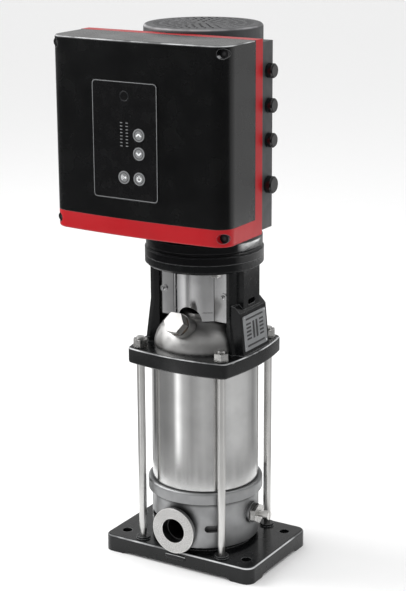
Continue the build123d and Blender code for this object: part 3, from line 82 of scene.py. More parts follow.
def grid_faces(rows: int, columns: int, close_rows: bool, close_columns: bool) -> np.ndarray:
    """Four-sided faces over a grid of points.

    Point (i, j) has number i * columns + j, and a face joins (i, j), (i+1, j), (i+1, j+1), (i, j+1),
    with i and j going round where the grid is closed that way.

    Args:
        rows: Number of rows of points.
        columns: Number of points in a row.
        close_rows: Whether the last row joins the first.
        close_columns: Whether each row's last point joins its first.

    Returns:
        One row of four point numbers for each face.
    """
    i = np.arange(rows if close_rows else rows - 1)[:, None]
    j = np.arange(columns if close_columns else columns - 1)[None, :]
    below, right = (i + 1) % rows, (j + 1) % columns
    corners = (i * columns + j, below * columns + j, below * columns + right, i * columns + right)
    return np.stack(np.broadcast_arrays(*corners), axis=-1).reshape(-1, 4)


def on_grid(points: np.ndarray, close_rows: bool, close_columns: bool) -> Shape:
    """Shape over a grid of points of shape (rows, columns, 3)."""
    rows, columns = points.shape[:2]
    return Shape(points.reshape(-1, 3), grid_faces(rows, columns, close_rows, close_columns))


def gathered(shapes: list[Shape]) -> Shape:
    """All the shapes as one, with each one's point numbers moved past those before it.

    Args:
        shapes: The shapes to join.

    Returns:
        One shape.
    """
    starts = np.cumsum([0] + [len(shape.points) for shape in shapes[:-1]])
    faces = [shape.faces + start for shape, start in zip(shapes, starts)]
    return Shape(np.concatenate([shape.points for shape in shapes]), np.concatenate(faces))


def unit(vectors: np.ndarray) -> np.ndarray:
    """The vectors, each divided by its own length."""
    return vectors / np.linalg.norm(vectors, axis=-1, keepdims=True)


def spokes(angles: np.ndarray) -> np.ndarray:
    """Level unit vectors (cos t, sin t, 0) at the angles, in radians from +X."""
    return np.stack([np.cos(angles), np.sin(angles), np.zeros_like(angles)], axis=-1)


def carried(path: np.ndarray, lift: np.ndarray, section: np.ndarray, closed: bool = False) -> Shape:
    """A closed section carried along a path.

    At each point of the path the section's first measure runs along lift x direction of travel, and
    its second along lift. An open path gets a row that is drawn in to the path's own point at each
    end, which closes it.

    Args:
        path: Points that the section follows, one row each.
        lift: Unit vector, or one for each point, that the section's second measure runs along.
        section: Pairs of measures round the section.
        closed: Whether the path's end joins its start.

    Returns:
        The closed shape.
    """
    if closed:
        travel = np.roll(path, -1, axis=0) - np.roll(path, 1, axis=0)
    else:
        travel = np.gradient(path, axis=0)
    lift = np.broadcast_to(lift, path.shape)
    across = unit(np.cross(lift, unit(travel)))
    rows = path[:, None] + section[None, :, :1] * across[:, None] + section[None, :, 1:] * lift[:, None]
    if not closed:
        first, last = (np.repeat(end[:, None], len(section), axis=1) for end in (path[:1], path[-1:]))
        rows = np.concatenate([first, rows, last])
    return on_grid(rows, closed, True)


def oval(width: float, height: float, count: int = 8) -> np.ndarray:
    """Section of an oval: (width / 2 * cos t, height / 2 * sin t) for t once round."""
    t = np.linspace(0, 2 * np.pi, count, endpoint=False)
    return np.stack([width / 2 * np.cos(t), height / 2 * np.sin(t)], axis=-1)


def dome(radius: float, height: float, skirt: float, fullness: float, count: int) -> np.ndarray:
    """Profile of a domed head: (radius * cos(t) ** fullness, height * sin t) over a straight skirt.

    Args:
        radius: Radius of the head.
        height: Height of its crown.
        skirt: Depth of the straight part under the crown.
        fullness: Power of the cosine, smaller for a fuller crown.
        count: Points from the skirt to the top.

    Returns:
        (radius, height) pairs from the middle of the underside to the top.
    """
    t = np.linspace(0, np.pi / 2, count)
    crown = np.stack([radius * np.cos(t) ** fullness, height * np.sin(t)], axis=-1)
    crown[-1, 0] = 0.0
    return np.concatenate([[[0.0, -skirt], [radius, -skirt]], crown])


def turned(profile: np.ndarray, origin: Point, axis: Point, steps: int) -> Shape:
    """Surface of revolution: origin + axis * height + radius * (side * cos t + front * sin t).

    Args:
        profile: (radius, height) pairs. It starts and ends on the axis.
        origin: Point on the axis that heights are counted from.
        axis: Direction of the axis.
        steps: Points round the axis.

    Returns:
        The closed shape.
    """
    line = unit(np.array(axis, float))
    helper = ALONG_Y if abs(line[X]) > abs(line[Y]) else np.array([1.0, 0.0, 0.0])
    side = unit(np.cross(helper, line))
    front = np.cross(line, side)
    t = np.linspace(0, 2 * np.pi, steps, endpoint=False)[None, :, None]
    spoke = np.cos(t) * side + np.sin(t) * front
    points = np.array(origin) + profile[:, 1][:, None, None] * line + profile[:, 0][:, None, None] * spoke
    return on_grid(points, False, True)


def pebble(centre: Point, half: Point, squareness: float, rows: int = 13, columns: int = 28) -> Shape:
    """Rounded block: half lengths times powers of sines and cosines of two angles.

    With c(t) = sign(cos t) * |cos t| ** squareness and s(t) likewise, a point is centre +
    (a c(u) c(v), b s(u), c c(u) s(v)), so that its crown faces along Y. Squareness 1 gives an
    ellipsoid and a smaller one a flatter, squarer block.

    Args:
        centre: Its middle.
        half: Half its lengths along X, Y and Z.
        squareness: Power of the sines and cosines.
        rows: Points from pole to pole.
        columns: Points round it.

    Returns:
        The closed shape.
    """
    u = np.linspace(-np.pi / 2, np.pi / 2, rows)[:, None]
    v = np.linspace(0, 2 * np.pi, columns, endpoint=False)[None, :]
    nothing = 1e-9

    def power(value: np.ndarray) -> np.ndarray:
        """The value's size to the power, with its sign."""
        return np.sign(value) * np.abs(np.where(np.abs(value) < nothing, 0, value)) ** squareness

    x = half[X] * power(np.cos(u)) * power(np.cos(v))
    y = half[Y] * power(np.sin(u)) * np.ones_like(v)
    z = half[Z] * power(np.cos(u)) * power(np.sin(v))
    return on_grid(np.stack([x, y, z], axis=-1) + np.array(centre), False, True)


def stroke(flat: np.ndarray, y: float, width: float, height: float, closed: bool = False) -> Shape:
    """Raised line through (x, z) points on the plane at y: an oval carried along them."""
    return carried(np.insert(flat, 1, y, axis=1), -ALONG_Y, oval(width, height), closed)


def arc(centre: Pair, radius: float, start: float, end: float, count: int) -> np.ndarray:
    """(x, z) points on an arc, from one angle in degrees to another."""
    t = np.radians(np.linspace(start, end, count))
    return np.stack([centre[0] + radius * np.cos(t), centre[1] + radius * np.sin(t)], axis=-1)


def circle(centre: Pair, radius: float, count: int) -> np.ndarray:
    """(x, z) points once round a circle, with the first not repeated."""
    return arc(centre, radius, 0, 360, count + 1)[:-1]


def between(start: Pair, end: Pair, count: int = 5) -> np.ndarray:
    """(x, z) points on a straight line."""
    return np.linspace(np.array(start, float), np.array(end, float), count)


def round_frame(centre: Pair, width: float, height: float, radius: float) -> np.ndarray:
    """(x, z) points once round a rectangle with round corners: a quarter arc at each corner.

    Args:
        centre: Middle of the rectangle.
        width: Its length along X.
        height: Its length along Z.
        radius: Radius of its corners.

    Returns:
        The points, with the first not repeated.
    """
    across, up = width / 2 - radius, height / 2 - radius
    corners = ((across, up, 0), (-across, up, 90), (-across, -up, 180), (across, -up, 270))
    quarters = [arc((centre[0] + x, centre[1] + z), radius, turn, turn + 90, 9) for x, z, turn in corners]
    return np.concatenate(quarters)


# ------------------------------------------------------------------ finishes
class Grain(Enum):
    """How the fine relief of a finish runs."""

    BLASTED = "fine even speckle"
    ENAMEL = "broad soft waves of paint over cast skin"
    DRAWN = "streaks along Z"
    RINGED = "fine rings stacked along Z"
    MOULDED = "fine even mould texture"
    POWDER = "coarse powder coat"
    WOUND = "bands of wire"
    TRACKS = "lines of a circuit board"


BEVEL_SAMPLES = 4
SKY_SAMPLES = 6
EDGE_SPAN: Pair = (0.01, 0.16)
EVEN: Point = (1.0, 1.0, 1.0)
STRETCH: dict[Grain, Point] = {Grain.DRAWN: (1.0, 1.0, 0.012), Grain.RINGED: (0.05, 0.05, 1.0)}


class Bench:
    """Node tree of one material, with short calls for the nodes that it is made of."""

    def __init__(self, name: str) -> None:
        """Starts an empty tree with Object coordinates.

        Args:
            name: The material's name.
        """
        self.material = bpy.data.materials.new(name)
        self.material.use_nodes = True
        self.tree = self.material.node_tree
        self.tree.nodes.clear()
        self.place = self.node("ShaderNodeTexCoord", {}).outputs["Object"]

    def node(self, kind: str, inputs: dict[str | int, object], **settings: object) -> bpy.types.Node:
        """A node with its settings and inputs.

        Args:
            kind: Blender's name of the node.
            inputs: Values or sockets, by the input's name or number.
            **settings: The node's own properties.

        Returns:
            The node.
        """
        made = self.tree.nodes.new(kind)
        for key, value in settings.items():
            setattr(made, key, value)
        for key, value in inputs.items():
            if isinstance(value, Socket):
                self.tree.links.new(value, made.inputs[key])
            else:
                made.inputs[key].default_value = value
        return made

    def noise(self, scale: float, stretch: Point = EVEN, detail: float = 3.0) -> Socket:
        """Noise over Object coordinates, stretched along each axis.

        Args:
            scale: How fine it is, in waves to the metre.
            stretch: Scale along each axis.
            detail: How many finer layers it has.

        Returns:
            Value of the noise.
        """
        place = self.node("ShaderNodeMapping", {"Vector": self.place, "Scale": stretch}).outputs[0]
        inputs = {"Vector": place, "Scale": scale, "Detail": detail}
        return self.node("ShaderNodeTexNoise", inputs).outputs["Fac"]

    def spread(self, value: Socket, span: Pair, onto: Pair = (0.0, 1.0)) -> Socket:
        """The value mapped from one span onto another, kept within it."""
        ends = zip(("From Min", "From Max", "To Min", "To Max"), (*span, *onto))
        return self.node("ShaderNodeMapRange", {"Value": value, **dict(ends)}).outputs[0]

    def maths(self, operation: str, first: Socket | float, second: Socket | float = 0.0) -> Socket:
        """One step of arithmetic."""
        return self.node("ShaderNodeMath", {0: first, 1: second}, operation=operation).outputs[0]

    def times(self, first: Socket | float, second: Socket | float) -> Socket:
        """The product of two values."""
        return self.maths("MULTIPLY", first, second)

    def blend(self, factor: Socket, first: Socket | Colour, second: Socket | Colour) -> Socket:
        """Mix of two colours, given as sockets or as numbers.

        Args:
            factor: Share of the second colour.
            first: First colour.
            second: Second colour.

        Returns:
            The mixed colour.
        """
        pair = [c if isinstance(c, Socket) else (*c, 1.0) for c in (first, second)]
        made = self.node("ShaderNodeMix", {0: factor, 6: pair[0], 7: pair[1]}, data_type="RGBA")
        return made.outputs[2]

    def facing(self) -> Socket:
        """The surface's true direction."""
        return self.node("ShaderNodeNewGeometry", {}).outputs["Normal"]

    def part(self, vector: Socket, axis: int) -> Socket:
        """A vector's measure along one axis."""
        return self.node("ShaderNodeSeparateXYZ", {0: vector}).outputs[axis]

    def rounded(self, radius: float) -> Socket:
        """Surface direction rounded over edges by a radius in millimetres."""
        return self.node("ShaderNodeBevel", {"Radius": radius * MM}, samples=BEVEL_SAMPLES).outputs[0]

    def edge_mask(self, rounded: Socket) -> Socket:
        """1 on edges, 0 elsewhere: one less the cosine between the rounded and the true direction.

        Args:
            rounded: Surface direction rounded over the edges.

        Returns:
            The mask.
        """
        inputs = {0: rounded, 1: self.facing()}
        cosine = self.node("ShaderNodeVectorMath", inputs, operation="DOT_PRODUCT").outputs["Value"]
        return self.spread(self.maths("SUBTRACT", 1.0, cosine), EDGE_SPAN)


@dataclass(frozen=True)
class Mottle:
    """Noise that varies a finish: its scale, and the noise values that it is spread from."""

    scale: float
    span: Pair

    def over(self, bench: Bench, onto: Pair = (0.0, 1.0)) -> Socket:
        """The noise, spread onto a span."""
        return bench.spread(bench.noise(self.scale), self.span, onto)


# spans of noise, of openness to the sky, or of how far up a surface faces, that masks are spread from
PATCH_SPAN: Pair = (0.35, 0.65)
GLOSS_SPAN: Pair = (0.3, 0.7)
OPEN_SPAN: Pair = (0.36, 0.86)
HIGHLIGHT_UPWARD: Pair = (0.2, 0.6)
GLEAM_RISES: Pair = (0.3, 0.5)
GLEAM_FALLS: Pair = (0.78, 0.95)
TRACK_SPAN: Pair = (0.3, 0.4)
EDGE_MOTTLE = Mottle(220.0, (0.35, 0.6))
GLEAM_MOTTLE = Mottle(28.0, (0.38, 0.58))

# shares: the colour left where painted shade is deepest in crevices, and the least that the edge mask and
# gleam fall to in their mottle
DEEP_SHARE = 0.1
EDGE_LEAST = 0.6
GLEAM_LEAST = 0.22

GLOSS_FINER = 2.5
RELIEF_DETAIL = 4.0
TRACK_RANDOMNESS = 0.6
QUARTER_TURN = 0.25


@dataclass(frozen=True)
class Finish:
    """A finish, as the colour, gloss and relief of a surface.

    Lengths are in millimetres. The attribute wear_and_highlight is how far edges go to
    worn_and_highlight_colour, both as worn edges and as painted highlight, tint_spread how much darker the
    darker patches are, crevice_shade how near a wall brings painted shade onto the surface beside it, and
    gleam how far rounded upper edges go to worn_and_highlight_colour as painted highlight, up to the height
    gleam_below.
    """

    name: str
    colour: Colour
    metallic: float = 0.0
    roughness: float = 0.4
    roughness_spread: float = 0.08
    tint_spread: float = 0.12
    patch: float = 30.0
    grain: Grain = Grain.MOULDED
    grain_size: float = 0.8
    grain_depth: float = 0.03
    edge_radius: float = 0.6
    worn_and_highlight_colour: Colour = (0.6, 0.6, 0.6)
    wear_and_highlight: float = 0.0
    edge_highlight_faces_up: bool = False
    coat: float = 0.0
    coat_roughness: float = 0.08
    specular: float = 0.5
    anisotropy: float = 0.0
    crevice_shade: float = 0.0
    gleam: float = 0.0
    gleam_below: float = 1000.0

    def colour_socket(self, bench: Bench) -> Socket:
        """Base colour with darker patches, and painted shade in crevices.

        Args:
            bench: Node tree that the nodes go into.

        Returns:
            The colour.
        """
        dark = tuple(c * (1 - self.tint_spread) for c in self.colour)
        patches = bench.spread(bench.noise(1 / (self.patch * MM)), PATCH_SPAN)
        colour = bench.blend(patches, self.colour, dark)
        if not self.crevice_shade:
            return colour
        # painted shade: the colour goes towards DEEP_SHARE of itself where ambient occlusion finds a wall
        # near by
        deep = tuple(c * DEEP_SHARE for c in self.colour)
        reach = {"Distance": self.crevice_shade * MM}
        open_sky = bench.node("ShaderNodeAmbientOcclusion", reach, samples=SKY_SAMPLES).outputs["AO"]
        return bench.blend(bench.spread(open_sky, OPEN_SPAN), deep, colour)

    def wear_and_highlight_socket(self, bench: Bench, rounded: Socket) -> Socket:
        """Ragged mask of the edges, for worn edges and painted highlight; on those that face up alone, as
        painted highlight, if edge_highlight_faces_up.

        Args:
            bench: Node tree that the nodes go into.
            rounded: Surface direction rounded over the edges.

        Returns:
            The mask.
        """
        ragged = EDGE_MOTTLE.over(bench, (EDGE_LEAST * self.wear_and_highlight, self.wear_and_highlight))
        mask = bench.times(bench.edge_mask(rounded), ragged)
        if not self.edge_highlight_faces_up:
            return mask
        return bench.times(mask, bench.spread(bench.part(rounded, Z), HIGHLIGHT_UPWARD))

    def gleam_socket(self, bench: Bench) -> Socket:
        """Ragged mask of painted highlight on roundings that face up and out.

        Args:
            bench: Node tree that the nodes go into.

        Returns:
            The mask.
        """
        upward = bench.part(bench.facing(), Z)
        slope = bench.times(bench.spread(upward, GLEAM_RISES), bench.spread(upward, GLEAM_FALLS, (1.0, 0.0)))
        ragged = GLEAM_MOTTLE.over(bench, (GLEAM_LEAST * self.gleam, self.gleam))
        below = bench.maths("LESS_THAN", bench.part(bench.place, Z), self.gleam_below * MM)
        return bench.times(slope, bench.times(ragged, below))

    def roughness_socket(self, bench: Bench) -> Socket:
        """Roughness that varies over the surface, in patches finer than the colour's.

        Args:
            bench: Node tree that the nodes go into.

        Returns:
            The roughness.
        """
        noise = bench.noise(GLOSS_FINER / (self.patch * MM), STRETCH.get(self.grain, EVEN))
        least, most = self.roughness - self.roughness_spread, self.roughness + self.roughness_spread
        return bench.spread(noise, GLOSS_SPAN, (least, most))

    def relief_socket(self, bench: Bench) -> Socket:
        """Height of the fine relief, from 0 to 1.

        Args:
            bench: Node tree that the nodes go into.

        Returns:
            The height.
        """
        scale = 1 / (self.grain_size * MM)
        inputs = {"Vector": bench.place, "Scale": scale}
        if self.grain is Grain.WOUND:
            return bench.node("ShaderNodeTexWave", inputs, bands_direction="Z").outputs["Fac"]
        if self.grain is Grain.TRACKS:
            inputs["Randomness"] = TRACK_RANDOMNESS
            cells = bench.node("ShaderNodeTexVoronoi", inputs, distance="MANHATTAN")
            return bench.spread(cells.outputs["Distance"], TRACK_SPAN)
        return bench.noise(scale, STRETCH.get(self.grain, EVEN), RELIEF_DETAIL)

    def material(self) -> bpy.types.Material:
        """The finish as a material.

        Returns:
            The material, with a Principled shader whose bump starts from edges rounded by edge_radius.
        """
        bench = Bench(self.name)
        rounded = bench.rounded(self.edge_radius)
        colour = self.colour_socket(bench)
        # edges, then upward roundings, go towards worn_and_highlight_colour: worn edges and painted
        # highlight
        if self.wear_and_highlight:
            colour = bench.blend(self.wear_and_highlight_socket(bench, rounded), colour, self.worn_and_highlight_colour)
        if self.gleam:
            colour = bench.blend(self.gleam_socket(bench), colour, self.worn_and_highlight_colour)
        bump = {
            "Height": self.relief_socket(bench),
            "Distance": self.grain_depth * MM,
            "Strength": 1.0,
            "Normal": rounded,
        }
        inputs: dict[str | int, object] = {
            "Base Color": colour,
            "Metallic": self.metallic,
            "Roughness": self.roughness_socket(bench),
            "Normal": bench.node("ShaderNodeBump", bump).outputs[0],
            "Specular IOR Level": self.specular,
        }
        if self.coat:
            inputs |= {"Coat Weight": self.coat, "Coat Roughness": self.coat_roughness}
        if self.anisotropy:
            tangent = bench.node("ShaderNodeTangent", {}, direction_type="RADIAL", axis="Z").outputs[0]
            inputs |= {"Anisotropic": self.anisotropy, "Anisotropic Rotation": QUARTER_TURN}
            inputs["Tangent"] = tangent
        shader = bench.node("ShaderNodeBsdfPrincipled", inputs).outputs[0]
        bench.node("ShaderNodeOutputMaterial", {"Surface": shader})
        return bench.material


PORT_HEIGHT = 52.0
PORT_REACH = high("base_casting", Y)


@dataclass(frozen=True)
class PortedFinish(Finish):
    """Blasted casting whose port faces are machined: bright, with rings round the port's axis; its bores and
    the neck under its ring get painted shade.
    """

    face_skin: float = 0.3
    face_reach: float = PORT_REACH - face_skin
    machined: Colour = (0.66, 0.655, 0.645)
    machined_mottle: Mottle = Mottle(850.0, (0.38, 0.62))
    dim_share: float = 0.6
    ring_pitch: float = 1.1
    ring_share: float = 0.5
    bore_radius: float = 16.4
    # painted shade: colour of the bores and of the painted shadow under the ring, then that shadow's heights
    # and strength
    painted_shade_colour: Colour = (0.1, 0.1, 0.1)
    ring_shadow_levels: Pair = (83.0, 89.2)
    ring_shadow_strength: float = 1.6

    def machined_mask(self, bench: Bench) -> Socket:
        """1 beyond the reach of the machined faces along Y, else 0."""
        away = bench.maths("ABSOLUTE", bench.part(bench.place, Y))
        return bench.maths("GREATER_THAN", away, self.face_reach * MM)

    def from_port_axis(self, bench: Bench) -> Socket:
        """Distance from the ports' axis, in metres.

        Args:
            bench: Node tree that the nodes go into.

        Returns:
            The distance.
        """
        x = bench.part(bench.place, X)
        up = bench.maths("SUBTRACT", bench.part(bench.place, Z), PORT_HEIGHT * MM)
        return bench.maths("SQRT", bench.maths("ADD", bench.times(x, x), bench.times(up, up)))

    def bore_shade_mask(self, bench: Bench) -> Socket:
        """1 inside the ports' bores, where painted shade goes, else 0."""
        return bench.maths("LESS_THAN", self.from_port_axis(bench), self.bore_radius * MM)

    def ring_shadow_mask(self, bench: Bench) -> Socket:
        """Painted shadow that deepens up to the ring's underside, and stops there.

        Args:
            bench: Node tree that the nodes go into.

        Returns:
            The mask.
        """
        height = bench.part(bench.place, Z)
        under, ring = (level * MM for level in self.ring_shadow_levels)
        ring_shade = bench.spread(height, (under, ring), (0.0, self.ring_shadow_strength))
        return bench.times(ring_shade, bench.maths("LESS_THAN", height, ring))

    def colour_socket(self, bench: Bench) -> Socket:
        """Casting's colour, with speckled machined port faces, painted shade in the bores and painted shadow
        under the ring.

        Args:
            bench: Node tree that the nodes go into.

        Returns:
            The colour.
        """
        dim = tuple(self.dim_share * c for c in self.machined)
        faced = bench.blend(self.machined_mottle.over(bench), dim, self.machined)
        # painted shadow under the ring; the bores get painted shade below
        cast = bench.blend(self.ring_shadow_mask(bench), super().colour_socket(bench), self.painted_shade_colour)
        colour = bench.blend(self.machined_mask(bench), cast, faced)
        return bench.blend(self.bore_shade_mask(bench), colour, self.painted_shade_colour)

    def wear_and_highlight_socket(self, bench: Bench, rounded: Socket) -> Socket:
        """Worn edges and painted edge highlight everywhere but in the shaded bores."""
        outside = bench.maths("SUBTRACT", 1.0, self.bore_shade_mask(bench))
        return bench.times(super().wear_and_highlight_socket(bench, rounded), outside)

    def relief_socket(self, bench: Bench) -> Socket:
        """Speckle, plus a sine of the distance from the port's axis on the port faces.

        Args:
            bench: Node tree that the nodes go into.

        Returns:
            The height.
        """
        turns = bench.times(self.from_port_axis(bench), 2 * math.pi / (self.ring_pitch * MM))
        rings = bench.times(bench.maths("SINE", turns), self.machined_mask(bench))
        return bench.maths("ADD", super().relief_socket(bench), bench.times(rings, self.ring_share))


@dataclass(frozen=True)
class BandFinish(Finish):
    """Coloured moulding whose underside is dark."""

    underside: Colour = (0.008, 0.008, 0.009)
    looks_down: float = -0.8

    def colour_socket(self, bench: Bench) -> Socket:
        """Moulding's colour, dark where the face looks down."""
        down = bench.maths("LESS_THAN", bench.part(bench.facing(), Z), self.looks_down)
        return bench.blend(down, super().colour_socket(bench), self.underside)


@dataclass(frozen=True)
class BoardFinish(Finish):
    """Circuit board: green lacquer with paler tracks."""

    track: Colour = (0.08, 0.32, 0.14)

    def colour_socket(self, bench: Bench) -> Socket:
        """Lacquer with the tracks' colour where the relief is high."""
        return bench.blend(self.relief_socket(bench), super().colour_socket(bench), self.track)


# In these finishes wear_and_highlight paints bright edges, both worn edges and painted highlight;
# edge_highlight_faces_up keeps them to edges that face up, as painted highlight; gleam paints highlight on
# upward roundings; crevice_shade paints shade in crevices.
BLACK_ENAMEL = Finish(
    "black_enamel", (0.006, 0.0065, 0.007), roughness=0.24, roughness_spread=0.07, grain=Grain.ENAMEL,
    grain_size=2.6, grain_depth=0.05, edge_radius=1.6, worn_and_highlight_colour=(0.7, 0.71, 0.72), wear_and_highlight=0.35,
    edge_highlight_faces_up=True, gleam=0.9, coat=0.1, specular=0.28,
)
# black_enamel again, with its painted gleam highlight only below 284 mm
STOOL_ENAMEL = replace(BLACK_ENAMEL, name="stool_enamel", gleam_below=284.0)
BELL_ENAMEL = Finish(
    "glossy_bell_enamel", (0.006, 0.006, 0.0065), roughness=0.09, roughness_spread=0.04, grain=Grain.ENAMEL,
    grain_size=4.0, edge_radius=1.0, worn_and_highlight_colour=(0.2, 0.2, 0.21), wear_and_highlight=0.5, edge_highlight_faces_up=True,
)
BLASTED_STEEL = Finish(
    "blasted_steel", (0.64, 0.635, 0.625), metallic=1.0, roughness=0.42, grain=Grain.BLASTED, grain_size=1.0,
    grain_depth=0.05, edge_radius=0.8, worn_and_highlight_colour=(0.75, 0.745, 0.73), wear_and_highlight=0.7, tint_spread=0.16,
    crevice_shade=7.0,
)
# painted shade in crevices, in the port bores and under the ring
CASTING_STEEL = PortedFinish(
    "casting_steel", (0.37, 0.374, 0.378), metallic=1.0, roughness=0.44, grain=Grain.BLASTED, grain_size=1.1,
    grain_depth=0.07, edge_radius=0.7, worn_and_highlight_colour=(0.8, 0.8, 0.79), wear_and_highlight=0.8, tint_spread=0.16, crevice_shade=9.0,
)
SLEEVE_STEEL = Finish(
    "rolled_sleeve_steel", (0.64, 0.64, 0.635), metallic=1.0, roughness=0.14, roughness_spread=0.05,
    grain=Grain.DRAWN, grain_size=3.0, grain_depth=0.02, edge_radius=0.4, anisotropy=0.5, tint_spread=0.1,
)
GUARD_STEEL = Finish(
    "polished_guard_steel", (0.68, 0.68, 0.685), metallic=1.0, roughness=0.17, grain=Grain.DRAWN,
    grain_size=2.0, grain_depth=0.012, edge_radius=0.5, worn_and_highlight_colour=(0.9, 0.9, 0.88), wear_and_highlight=0.8,
    anisotropy=0.3,
)
SHEET_STEEL = Finish(
    "pressed_sheet_steel", (0.62, 0.61, 0.59), metallic=1.0, roughness=0.3, grain=Grain.RINGED,
    grain_size=0.7, grain_depth=0.02, edge_radius=0.4,
)
ROD_STEEL = Finish(
    "drawn_rod_steel", (0.7, 0.695, 0.68), metallic=1.0, roughness=0.3, roughness_spread=0.05,
    grain=Grain.DRAWN, grain_size=0.6, grain_depth=0.01, edge_radius=0.5, tint_spread=0.14, patch=60.0,
)
BOLT_STEEL = Finish(
    "turned_bolt_steel", (0.6, 0.595, 0.58), metallic=1.0, roughness=0.3, roughness_spread=0.1,
    grain=Grain.BLASTED, grain_size=0.5, grain_depth=0.01, edge_radius=0.5, worn_and_highlight_colour=(0.85, 0.84, 0.82),
    wear_and_highlight=0.8, tint_spread=0.25, patch=8.0, crevice_shade=3.0,
)
VENT_STEEL = Finish(
    "bright_vent_steel", (0.8, 0.79, 0.77), metallic=1.0, roughness=0.32, grain=Grain.BLASTED,
    grain_depth=0.02, edge_radius=0.7, worn_and_highlight_colour=(0.9, 0.9, 0.88), wear_and_highlight=0.7,
)
BLACK_RUBBER = Finish(
    "black_rubber", (0.022, 0.022, 0.023), roughness=0.62, grain_size=0.9, edge_radius=0.7,
    worn_and_highlight_colour=(0.07, 0.07, 0.072), wear_and_highlight=0.5,
)
BROWN_RUBBER = Finish(
    "brown_seal_rubber", (0.16, 0.105, 0.07), roughness=0.55, grain_size=0.9, edge_radius=0.4,
)
GREY_COMPOSITE = Finish(
    "grey_composite", (0.33, 0.34, 0.35), roughness=0.5, grain_size=0.6, grain_depth=0.02,
)
BRONZE = Finish(
    "machined_bronze", (0.68, 0.47, 0.25), metallic=1.0, roughness=0.28, grain=Grain.RINGED, grain_size=0.4,
    grain_depth=0.015,
)
DARK_CERAMIC = Finish(
    "lapped_ceramic", (0.055, 0.055, 0.06), roughness=0.14, roughness_spread=0.04, grain=Grain.RINGED,
    grain_size=0.3, grain_depth=0.004,
)
MOTOR_ENAMEL = Finish(
    "motor_enamel", (0.028, 0.03, 0.032), roughness=0.42, grain=Grain.ENAMEL, grain_size=1.8,
    grain_depth=0.05, edge_radius=0.8, worn_and_highlight_colour=(0.14, 0.145, 0.15), wear_and_highlight=0.5,
)
LAMINATIONS = Finish(
    "varnished_laminations", (0.26, 0.27, 0.29), metallic=0.8, grain=Grain.WOUND, grain_depth=0.08,
)
COPPER = Finish(
    "varnished_copper", (0.62, 0.28, 0.12), metallic=0.9, roughness=0.3, grain=Grain.WOUND, grain_size=1.4,
    grain_depth=0.3,
)
# painted highlight on its upper edges and top roundings
COVER_BLACK = Finish(
    "cover_moulding", (0.0045, 0.0047, 0.005), roughness=0.26, roughness_spread=0.04, grain_size=0.7,
    grain_depth=0.012, edge_radius=1.3, worn_and_highlight_colour=(0.62, 0.63, 0.64), wear_and_highlight=0.3, edge_highlight_faces_up=True,
    gleam=0.9, tint_spread=0.2, patch=80.0, specular=0.45,
)
FRAME_RED = BandFinish(
    "red_moulding", (0.42, 0.006, 0.011), roughness=0.36, roughness_spread=0.06, specular=0.25,
    grain_depth=0.012, edge_radius=0.8, worn_and_highlight_colour=(0.62, 0.06, 0.08), wear_and_highlight=0.6, tint_spread=0.1,
    patch=60.0,
)
# painted highlight on its upper roundings, painted shade in crevices
POWDER_GREY = Finish(
    "dark_powder_coat", (0.046, 0.047, 0.05), roughness=0.5, grain=Grain.POWDER, grain_size=0.9,
    grain_depth=0.09, edge_radius=1.0, worn_and_highlight_colour=(0.4, 0.4, 0.41), wear_and_highlight=0.25, gleam=0.7, crevice_shade=3.0,
)
BLACK_SCREW = Finish(
    "blackened_screw", (0.012, 0.012, 0.013), metallic=0.4, roughness=0.35, grain=Grain.BLASTED,
    grain_size=0.5, grain_depth=0.01, edge_radius=0.3, worn_and_highlight_colour=(0.06, 0.06, 0.06), wear_and_highlight=0.4,
)
PANEL_FOIL = Finish(
    "panel_foil", (0.006, 0.006, 0.0065), roughness=0.26, roughness_spread=0.04, grain_size=0.5,
    grain_depth=0.006, edge_radius=0.3, specular=0.4,
)
SOFT_BUTTON = Finish(
    "soft_button", (0.2, 0.205, 0.21), roughness=0.5, grain_size=0.4, grain_depth=0.01, edge_radius=0.4,
    worn_and_highlight_colour=(0.4, 0.41, 0.42), wear_and_highlight=0.6,
)
LIGHT_GUIDE = Finish(
    "unlit_light_guide", (0.02, 0.021, 0.023), roughness=0.2, grain_size=0.5, grain_depth=0.006,
)
BOARD_GREEN = BoardFinish(
    "lacquered_board", (0.02, 0.16, 0.06), roughness=0.28, grain=Grain.TRACKS, grain_size=4.0,
    grain_depth=0.04,
)
CAN = Finish(
    "plain_can", (0.74, 0.75, 0.76), metallic=1.0, roughness=0.26, grain=Grain.RINGED, grain_size=0.4,
    grain_depth=0.01,
)
SILVER_FOIL = Finish(
    "satin_silver_foil", (0.42, 0.43, 0.44), metallic=0.8, roughness=0.34, grain=Grain.RINGED,
    grain_size=0.25, grain_depth=0.008, edge_radius=0.3, worn_and_highlight_colour=(0.8, 0.8, 0.8), wear_and_highlight=0.6,
)
LIGHT_PRINT = Finish("light_print", (0.9, 0.91, 0.92), roughness=0.5, grain_size=0.3, grain_depth=0.004)
GREY_PRINT = replace(LIGHT_PRINT, name="grey_print", colour=(0.2, 0.205, 0.21), roughness=0.45)
# used for dark print and for painted shade: the guards' fold lines, the guard screws' crosses and the cover
# screws' sockets
DARK_PRINT_AND_SHADE = replace(LIGHT_PRINT, name="dark_print_and_shade", colour=(0.03, 0.03, 0.032))


